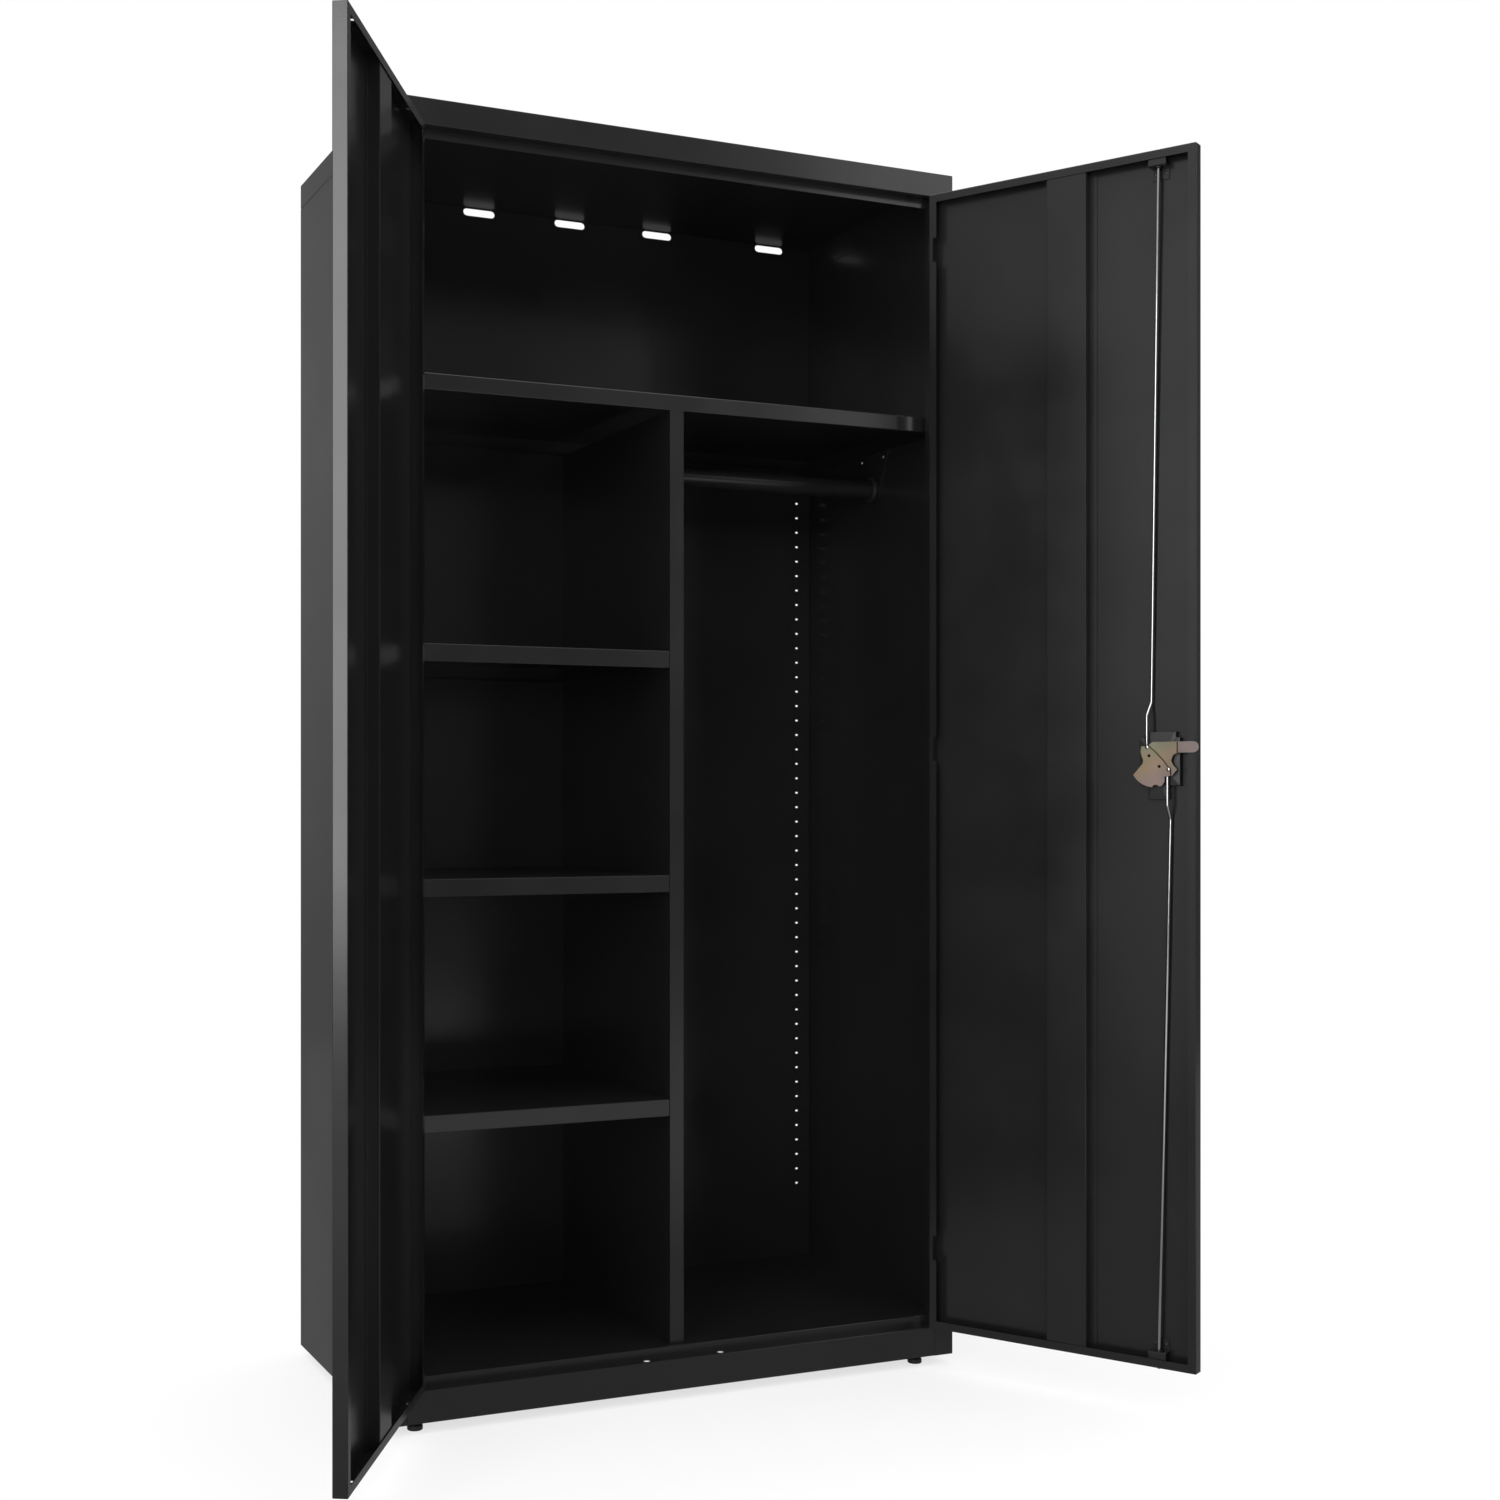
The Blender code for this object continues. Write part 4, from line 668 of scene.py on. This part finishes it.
class WARDROBE_OT_handle(bpy.types.Operator):
    """Mould the handle's dish, its lever and the lock plug"""
    bl_idname = "wardrobe.handle"
    bl_label = "Handle"

    def execute(self, context):
        self.make_dish()
        self.make_lever(context.scene.wardrobe_sizes)
        self.make_plug()
        return {"FINISHED"}

    def dish_outline(self, grow):
        """The dish seen square on: a box, a tongue under the spindle and a step on top, grown by a margin."""
        middle, centre_z = DISH_CENTRE
        half, tongue, step = (size + grow for size in DISH_HALF_WIDTHS)
        low, high = centre_z - DISH_HALF_HEIGHT - grow, centre_z + DISH_HALF_HEIGHT + grow
        foot, crest = low - TONGUE_LENGTH, high + STEP_HEIGHT
        left, right = SPINDLE[0] - tongue, SPINDLE[0] + tongue
        corners = ((middle - half, low), (left, low), (left, foot), (right, foot), (right, low),
                   (middle + half, low), (middle + half, high), (middle + step, high),
                   (middle + step, crest), (middle - step, crest), (middle - step, high),
                   (middle - half, high))
        return closed_outline(corners, 0.0012)

    def make_dish(self):
        """Outlines joined from the bearing hole over the dish's floor, its walls, the flange and back round.

        Each row is the dish's outline grown by a margin, or the flange's rounded rectangle, at a depth w;
        the first and last are circles about the spindle.
        """
        plain = self.dish_outline(0)
        about_spindle, about_rim = unit(plain - SPINDLE), unit(plain - RIM_CENTRE)
        bearing, boss = (SPINDLE + radius * about_spindle for radius in (0.0068, 0.0092))
        inner = ((-0.0060, -0.0090), (-0.0040, -0.0091), (-0.0030, -0.0098), (-0.0024, -0.0115),
                 (-0.0017, -0.0196), (-0.0012, -0.0208), (-0.0004, -0.0213))
        rim = (((0.0742, 0.1112), -0.0213), ((0.0756, 0.1126), -0.0209), ((0.0760, 0.1130), -0.0203),
               ((0.0760, 0.1130), -0.0193))
        outer = ((0.0001, -0.0193), (0.0, -0.0190), (0.0, -0.0085), (-0.0003, -0.0078), (-0.0010, -0.0075))
        rows = [(bearing, -0.0090), (boss, -0.0090)]
        rows += [(self.dish_outline(grow), depth) for grow, depth in inner]
        rows += [(RIM_CENTRE + box_outline(size, 0.006, about_rim), depth) for size, depth in rim]
        rows += [(self.dish_outline(grow), depth) for grow, depth in outer]
        rows += [(boss, -0.0075), (bearing, -0.0075)]
        grid = np.array([np.insert(outline, 1, depth, axis=1) for outline, depth in rows])
        dish = shell(on_door(1, grid), ring=True)
        piece("handle_dish", [dish], finish("plastic"), "right_door", ("handle_housing",))

    def make_lever(self, sizes):
        """A hub turned about the spindle, and a grip of rounded rectangles carried down from it."""
        outward = door_way((0, -1, 0))
        base = on_door(1, (SPINDLE[0], 0.0, SPINDLE[1]))
        hub = ((0.0054, 0.0160), (0.0054, 0.0268), (0.0058, 0.0273), (0.0080, 0.0273), (0.0087, 0.0270),
               (0.0090, 0.0263), (0.0090, 0.0100), (0.0088, 0.0096), (0.0065, 0.0093), (0.0065, 0.0000),
               (0.0052, -0.0002))
        shells = [shell(turned(hub, base, outward, sizes.round_sides), ring=True)]
        steps = np.linspace(0, 1, 22)
        reach = 0.0065 + steps * 0.0315
        width = np.interp(steps, (0, 0.35, 0.8, 1), (sizes.grip_width, 0.0128, 0.0112, 0.0098))
        thick = np.interp(steps, (0, 0.5, 1), (0.0056, 0.0052, 0.0046))
        close = np.sqrt(np.clip(1 - np.clip((steps - 0.86) / 0.14, 0, 1) ** 2, 0.02, 1))
        turn = GRIP_TILT - pi / 2
        along = np.array([cos(turn), sin(turn)])
        side = np.array([-along[1], along[0]])
        outline = box_outline((1, 1), 0.32, rays(40))
        flat = (np.array(SPINDLE) + reach[:, None, None] * along
                + (outline[None, :, 0] * (width * close)[:, None])[..., None] * side)
        depth = -0.02445 + outline[None, :, 1] * (thick * close)[:, None]
        shells.append(shell(on_door(1, np.stack([flat[..., 0], depth, flat[..., 1]], -1))))
        piece("lever_grip", shells, finish("plastic"), "handle", ("lever_handle",))

    def make_plug(self):
        """A plug with a bevelled face; the face's circle narrows to the keyway, which goes in 4 mm."""
        ring = rays(64)
        keyway = box_outline((0.0012, 0.006), 0.0003, ring)
        rows = ((0.0049 * ring, -0.0158), (0.0050 * ring, -0.0160), (0.0050 * ring, -0.0275),
                (0.0047 * ring, -0.0279), (0.0042 * ring, -0.0279), (0.0039 * ring, -0.0276),
                (0.0036 * ring, -0.0276), (keyway * 1.15, -0.0276), (keyway, -0.0273),
                (keyway, -0.0239))
        grid = np.array([np.insert(np.array(SPINDLE) + outline, 1, depth, axis=1)
                         for outline, depth in rows])
        piece("lock_plug_face", [shell(on_door(1, grid))], finish("chrome"), "lock_plug",
              ("lock_plug",))


class WARDROBE_OT_hinge_pins(bpy.types.Operator):
    """Turn the six hinge pins"""
    bl_idname = "wardrobe.hinge_pins"
    bl_label = "Hinge Pins"

    def execute(self, context):
        sides = context.scene.wardrobe_sizes.round_sides // 2
        for word in ("left", "right"):
            for number in (1, 2, 3):
                node = "%s_hinge_%d_pin" % (word, number)
                low, high = (np.array(corner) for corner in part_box(node))
                tall = high[2] - low[2]
                centre = np.array([(low[0] + high[0]) / 2, (low[1] + high[1]) / 2, low[2]])
                profile = ((0.0010, 0.0), (0.0018, 0.0001), (0.0022, 0.0004), (0.0022, 0.0009),
                           (0.0015, 0.0010), (0.0015, tall - 0.0010), (0.0022, tall - 0.0009),
                           (0.0022, tall - 0.0004), (0.0018, tall - 0.0001), (0.0010, tall))
                pin = shell(turned(profile, centre, (0, 0, 1), sides))
                piece(node.replace("_pin", "_spindle"), [pin], finish("pin"), "cabinet", (node,))
        return {"FINISHED"}


class WARDROBE_OT_feet(bpy.types.Operator):
    """Make the four levelling feet: a moulded pad, a nut and a threaded stem"""
    bl_idname = "wardrobe.feet"
    bl_label = "Levelling Feet"

    def execute(self, context):
        sizes = context.scene.wardrobe_sizes
        for word in ("front_left", "front_right", "rear_left", "rear_right"):
            node = "foot_" + word
            low, high = (np.array(corner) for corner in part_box(node))
            centre = np.array([(low[0] + high[0]) / 2, (low[1] + high[1]) / 2, 0.0])
            pad = ((0.0085, 0.0), (0.0103, 0.0003), (0.0110, 0.0012), (0.0110, 0.0052), (0.0106, 0.0066),
                   (0.0094, 0.0078), (0.0076, 0.0086), (0.0060, 0.0090))
            piece(node + "_pad", [shell(turned(pad, centre, (0, 0, 1), sizes.round_sides))],
                  finish("plastic"), "cabinet", (node,))
            shells = [shell(self.nut(centre, sizes)), shell(self.stem(centre, sizes, high[2]))]
            piece(node + "_stem", shells, finish("bright_zinc"), "cabinet")
        return {"FINISHED"}

    def nut(self, centre, sizes):
        """A hexagon with its rims turned down: half the flats over the cosine of the angle to a flat."""
        turn = np.linspace(0, 2 * pi, 60, endpoint=False)
        near = (turn + pi / 6) % (pi / 3) - pi / 6
        flat = sizes.nut_flats / 2
        hexagon = flat / np.cos(near)
        chamfer = flat * 1.09
        limit = np.array([flat, chamfer, np.inf, np.inf, chamfer, flat])[:, None]
        height = np.array([0.0091, 0.0094, 0.0098, 0.0138, 0.0142, 0.0145])[:, None]
        radius = np.minimum(hexagon[None], limit)
        return np.stack([centre[0] + radius * np.cos(turn), centre[1] + radius * np.sin(turn),
                         height + 0 * radius], -1)

    def stem(self, centre, sizes, top):
        """A helix: the radius swings with sin(2 pi z / pitch - turn) between the thread's root and crest."""
        turn = np.linspace(0, 2 * pi, 20, endpoint=False)[None]
        height = np.arange(0.0140, top, sizes.thread_pitch / 5)[:, None]
        crest, depth = 0.003, 0.0003
        radius = crest - depth + depth * np.sin(2 * pi * height / sizes.thread_pitch - turn)
        return np.stack([centre[0] + radius * np.cos(turn), centre[1] + radius * np.sin(turn),
                         height + 0 * turn], -1)


class WARDROBE_OT_garment_rod(bpy.types.Operator):
    """Make the garment rod's tube, its end collars and the screws of its brackets"""
    bl_idname = "wardrobe.garment_rod"
    bl_label = "Garment Rod"

    def execute(self, context):
        sizes = context.scene.wardrobe_sizes
        low, high = (np.array(corner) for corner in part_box("garment_rod"))
        radius = (high[2] - low[2]) / 2
        start = np.array([low[0], (low[1] + high[1]) / 2, (low[2] + high[2]) / 2])
        span = high[0] - low[0]
        inner = radius - sizes.tube_wall
        tube = ((inner, 0.0002), (radius - 0.0003, 0.0), (radius, 0.0003), (radius, span - 0.0003),
                (radius - 0.0003, span), (inner, span - 0.0002))
        shells = [shell(turned(tube, start, (1, 0, 0), sizes.round_sides), ring=True)]
        piece("garment_tube", shells, finish("enamel"), "cabinet", ("garment_rod",))
        collar = np.array(((0.0, 0.0), (0.0032, 0.0), (0.0038, 0.0006), (0.0038, 0.0050), (0.0030, 0.0062),
                           (0.0, 0.0066))) + (radius + 0.0002, 0)
        inset = 0.0026
        collars, screws = [], []
        for place, way, node in ((inset, 1, "rod_bracket_left"), (span - inset, -1, "rod_bracket_right")):
            spot = start + np.array([place, 0, 0])
            collars.append(shell(turned(collar, spot, (way, 0, 0), sizes.round_sides), ring=True))
            plate_low, plate_high = (np.array(corner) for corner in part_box(node))
            face = plate_high[0] if way > 0 else plate_low[0]
            for shift in (-0.034, 0.034):
                centre = np.array([face, start[1] + shift, plate_high[2] - 0.009])
                screws.append(rivet(centre, (way, 0, 0), 0.0042, 0.0021, 28))
        piece("garment_rod_collars", collars, finish("plastic"), "cabinet")
        piece("bracket_screws", screws, finish("bright_zinc"), "cabinet")
        return {"FINISHED"}


class WARDROBE_OT_hole_rims(bpy.types.Operator):
    """Press a rim round each free shelf hole of the back and of the divider, down to a slot"""
    bl_idname = "wardrobe.hole_rims"
    bl_label = "Hole Rims"

    def execute(self, context):
        sizes = context.scene.wardrobe_sizes
        back, divider = (np.array(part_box(node)) for node in ("back_panel", "divider"))
        taken = [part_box(node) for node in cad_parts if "clip" in node or "half_shelf" in node]
        spans = [(corners[0][2] - HOLE_CLEARANCE, corners[1][2] + HOLE_CLEARANCE) for corners in taken]
        columns = (
            ((back[0][0] + BACK_HOLES, back[0][1]), (0, -1, 0), BACK_COUNT),
            ((back[1][0] - BACK_HOLES, back[0][1]), (0, -1, 0), BACK_COUNT),
            ((divider[0][0], divider[0][1] + FRONT_HOLES), (-1, 0, 0), DIVIDER_COUNT),
            ((divider[0][0], divider[1][1] - REAR_HOLES), (-1, 0, 0), DIVIDER_COUNT),
        )
        # Clips and half shelves take up some holes, but only left of the divider
        rims = []
        for (x, y), way, count in columns:
            for height in BASE + FIRST_HOLE + sizes.hole_pitch * np.arange(count):
                if x > divider[1][0] or not any(foot < height < top for foot, top in spans):
                    rims.append(shell(self.rim((x, y, height), way), ring=True))
        piece("hole_rims", rims, finish("enamel"), "cabinet")
        return {"FINISHED"}

    def rim(self, centre, way):
        """Rounded rectangles joined from inside the hole, over the slot's lip and out to the sheet's face."""
        way = np.array(way, float)
        side = np.cross(way, (0, 0, 1.0))
        rows = ((0.0050, 0.0031, SLOT_RISE, -0.0006), (0.0050, 0.0031, SLOT_RISE, 0.0001),
                (0.0055, 0.0036, SLOT_RISE, 0.0003), (0.0072, 0.0072, 0.0, 0.0001),
                (0.0072, 0.0072, 0.0, -0.0003))
        ring = rays(12)
        grid = []
        for wide, tall, rise, out in rows:
            outline = box_outline((wide, tall), 0.0013, ring) + (0, rise)
            grid.append(np.array(centre) + outline[:, :1] * side + outline[:, 1:] * (0, 0, 1.0) + out * way)
        return np.array(grid)


class WARDROBE_OT_stage(bpy.types.Operator):
    """Set the floor, the reflecting walls, the lights and the camera"""
    bl_idname = "wardrobe.stage"
    bl_label = "Studio"

    def execute(self, context):
        studio = context.scene.wardrobe_studio
        self.make_world(context.scene, studio)
        self.make_floor(context.scene.wardrobe_colours)
        self.make_room(studio)
        self.make_light("left_light", (-2.15, -2.05, 1.6), (-0.45, -0.35, 1.05), (1.1, 2.3),
                        studio.left_light)
        self.make_light("right_light", (2.9, -2.7, 2.3), (0.0, 0.0, 1.0), (2.0, 2.7), studio.right_light)
        self.make_light("top_light", (0.0, -0.6, 4.2), (0.0, -0.2, 0.0), (3.5, 3.0), studio.top_light)
        self.make_camera(context.scene, studio)
        context.scene.view_settings.view_transform = "Standard"
        return {"FINISHED"}

    def seen_directly(self, tree):
        """One for rays from the camera and for rays that mirror or pass through, nought for the rest."""
        path = add(tree, "LightPath").outputs
        both = maths(tree, "MAXIMUM", path["Is Camera Ray"], path["Is Glossy Ray"])
        return maths(tree, "MAXIMUM", both, path["Is Transmission Ray"])

    def make_world(self, scene, studio):
        world = bpy.data.worlds.new("studio")
        world.use_nodes = True
        tree = world.node_tree
        tree.nodes.clear()
        light, white = (add(tree, "Background", {"Color": WHITE, "Strength": strength}).outputs[0]
                        for strength in (studio.daylight, 1.0))
        mixed = add(tree, "MixShader", {0: self.seen_directly(tree), 1: light, 2: white})
        add(tree, "OutputWorld", {"Surface": mixed.outputs[0]})
        scene.world = world

    def rings(self, radii, heights):
        """Circles about the upright axis, one for each pair of radius and height."""
        turn = np.linspace(0, 2 * pi, 96, endpoint=False)
        radii, heights = (values[:, None] for values in np.broadcast_arrays(radii, heights))
        return np.stack([radii * np.cos(turn), radii * np.sin(turn), heights + 0 * turn], -1)

    def shine(self, tree, level):
        """Let a material's surface give its own light."""
        light = add(tree, "Emission", {"Strength": level})
        feed(tree, tree.nodes["Material Output"], {"Surface": light.outputs[0]})

    def sheet(self, name, grid, material):
        """A stage surface over a grid of points whose columns close round."""
        rows, columns = grid.shape[:2]
        index = np.arange(rows * columns).reshape(rows, columns)
        after = np.roll(index, -1, axis=1)
        quads = np.stack([index[:-1], index[1:], after[1:], after[:-1]], -1).reshape(-1, 4)
        mesh = bpy.data.meshes.new(name)
        mesh.from_pydata(grid.reshape(-1, 3).tolist(), [], quads.tolist())
        mesh.materials.append(material)
        item = bpy.data.objects.new(name, mesh)
        bpy.context.scene.collection.objects.link(item)
        return item

    def make_floor(self, colours):
        """A disc of rings about the origin; round the object it fades to the white of the background."""
        material, tree, shader, place = blank("pale_floor")
        feed(tree, shader, {"Base Color": (*colours.floor, 1), "Roughness": 0.9, "Specular IOR Level": 0.1})
        far = add(tree, "VectorMath", {0: place}, operation="LENGTH").outputs["Value"]
        fade = ranged(tree, far, (0.5, 1.2), (0.7, 1.0), "SMOOTHSTEP")
        white = add(tree, "Emission", {"Color": WHITE, "Strength": 1.0})
        mixed = add(tree, "MixShader", {0: product(tree, fade, self.seen_directly(tree)),
                                        1: shader.outputs[0], 2: white.outputs[0]})
        feed(tree, tree.nodes["Material Output"], {"Surface": mixed.outputs[0]})
        grid = self.rings((0.0, 0.4, 0.8, 1.6, 3.2, 6.4, 12.0), -0.0002)
        self.sheet("floor", grid, material).visible_glossy = False

    def make_room(self, studio):
        """The room as gloss mirrors it.

        The round wall is palest to the left at head height, and the dim floor is paler towards the front.
        """
        material, tree, _, place = blank("studio_wall")
        x, y, z = add(tree, "SeparateXYZ", {"Vector": place}).outputs
        rise = ranged(tree, z, (0.0, 2.2), (0.6, 1.05))
        fade = ranged(tree, z, (2.4, 3.3), (1.0, 0.8))
        ahead = ranged(tree, y, (-1.4, -0.3), (1.0, 0.36), "SMOOTHSTEP")
        front = ranged(tree, y, (-4.3, -2.6), (0.26, 1.0), "SMOOTHSTEP")
        right = ranged(tree, x, (0.0, 4.0), (1.0, 0.4))
        glow = product(tree, product(tree, ahead, front, right), product(tree, rise, fade))
        self.shine(tree, product(tree, glow, studio.wall_glow))
        wall = self.sheet("studio_wall", self.rings(ROOM_RADIUS, (0.0, 1.5, 3.0, 4.5)), material)
        material, tree, _, place = blank("studio_floor")
        y = add(tree, "SeparateXYZ", {"Vector": place}).outputs["Y"]
        self.shine(tree, ranged(tree, y, (-1.9, -0.9), (3 * studio.floor_glow, studio.floor_glow)))
        ground = self.sheet("studio_ground", self.rings((0.0, 2.0, ROOM_RADIUS), -0.0004), material)
        for item in (wall, ground):
            item.visible_camera = False
            item.visible_diffuse = False
            item.visible_transmission = False
            item.visible_shadow = False

    def make_light(self, name, place, aim, size, power):
        """A rectangular soft light, turned so that its face looks at a point."""
        light = bpy.data.lights.new(name, "AREA")
        light.shape = "RECTANGLE"
        light.size, light.size_y = size
        light.energy = power
        item = bpy.data.objects.new(name, light)
        way = unit(np.array(aim) - np.array(place))
        item.location = place
        item.rotation_euler = (np.arccos(-way[2]), 0, np.arctan2(way[0], -way[1]) + pi)
        bpy.context.scene.collection.objects.link(item)

    def make_camera(self, scene, studio):
        camera = bpy.data.cameras.new("camera")
        camera.lens = studio.lens
        camera.sensor_width = SENSOR_WIDTH
        camera.shift_x, camera.shift_y = CAMERA_SHIFT
        item = bpy.data.objects.new("camera", camera)
        item.location = CAMERA_PLACE
        item.rotation_euler = (pi / 2, 0, CAMERA_TURN)
        scene.collection.objects.link(item)
        scene.camera = item


# Panel and registration
STEPS = (
    WARDROBE_OT_folded_sheet,
    WARDROBE_OT_latch_rods,
    WARDROBE_OT_latch_plates,
    WARDROBE_OT_rod_bushings,
    WARDROBE_OT_handle,
    WARDROBE_OT_hinge_pins,
    WARDROBE_OT_feet,
    WARDROBE_OT_garment_rod,
    WARDROBE_OT_hole_rims,
    WARDROBE_OT_stage,
)


class WARDROBE_PT_panel(bpy.types.Panel):
    """The steps and settings of the wardrobe cabinet"""
    bl_idname = "WARDROBE_PT_panel"
    bl_label = "Wardrobe Cabinet"
    bl_space_type = "VIEW_3D"
    bl_region_type = "UI"
    bl_category = "Wardrobe"

    def draw(self, context):
        for step in STEPS:
            self.layout.operator(step.bl_idname)
        for title, group in (("Colours", context.scene.wardrobe_colours),
                             ("Sizes", context.scene.wardrobe_sizes),
                             ("Studio", context.scene.wardrobe_studio)):
            box = self.layout.box()
            box.label(text=title)
            for key in group.__annotations__:
                box.prop(group, key)


CLASSES = (WardrobeColours, WardrobeSizes, WardrobeStudio, *STEPS, WARDROBE_PT_panel)


def register():
    for item in CLASSES:
        bpy.utils.register_class(item)
    bpy.types.Scene.wardrobe_colours = PointerProperty(type=WardrobeColours)
    bpy.types.Scene.wardrobe_sizes = PointerProperty(type=WardrobeSizes)
    bpy.types.Scene.wardrobe_studio = PointerProperty(type=WardrobeStudio)


def unregister():
    del bpy.types.Scene.wardrobe_studio
    del bpy.types.Scene.wardrobe_sizes
    del bpy.types.Scene.wardrobe_colours
    for item in reversed(CLASSES):
        bpy.utils.unregister_class(item)


def main():
    register()
    for step in STEPS:
        group, name = step.bl_idname.split(".")
        getattr(getattr(bpy.ops, group), name)()


if __name__ == "__main__":
    main()
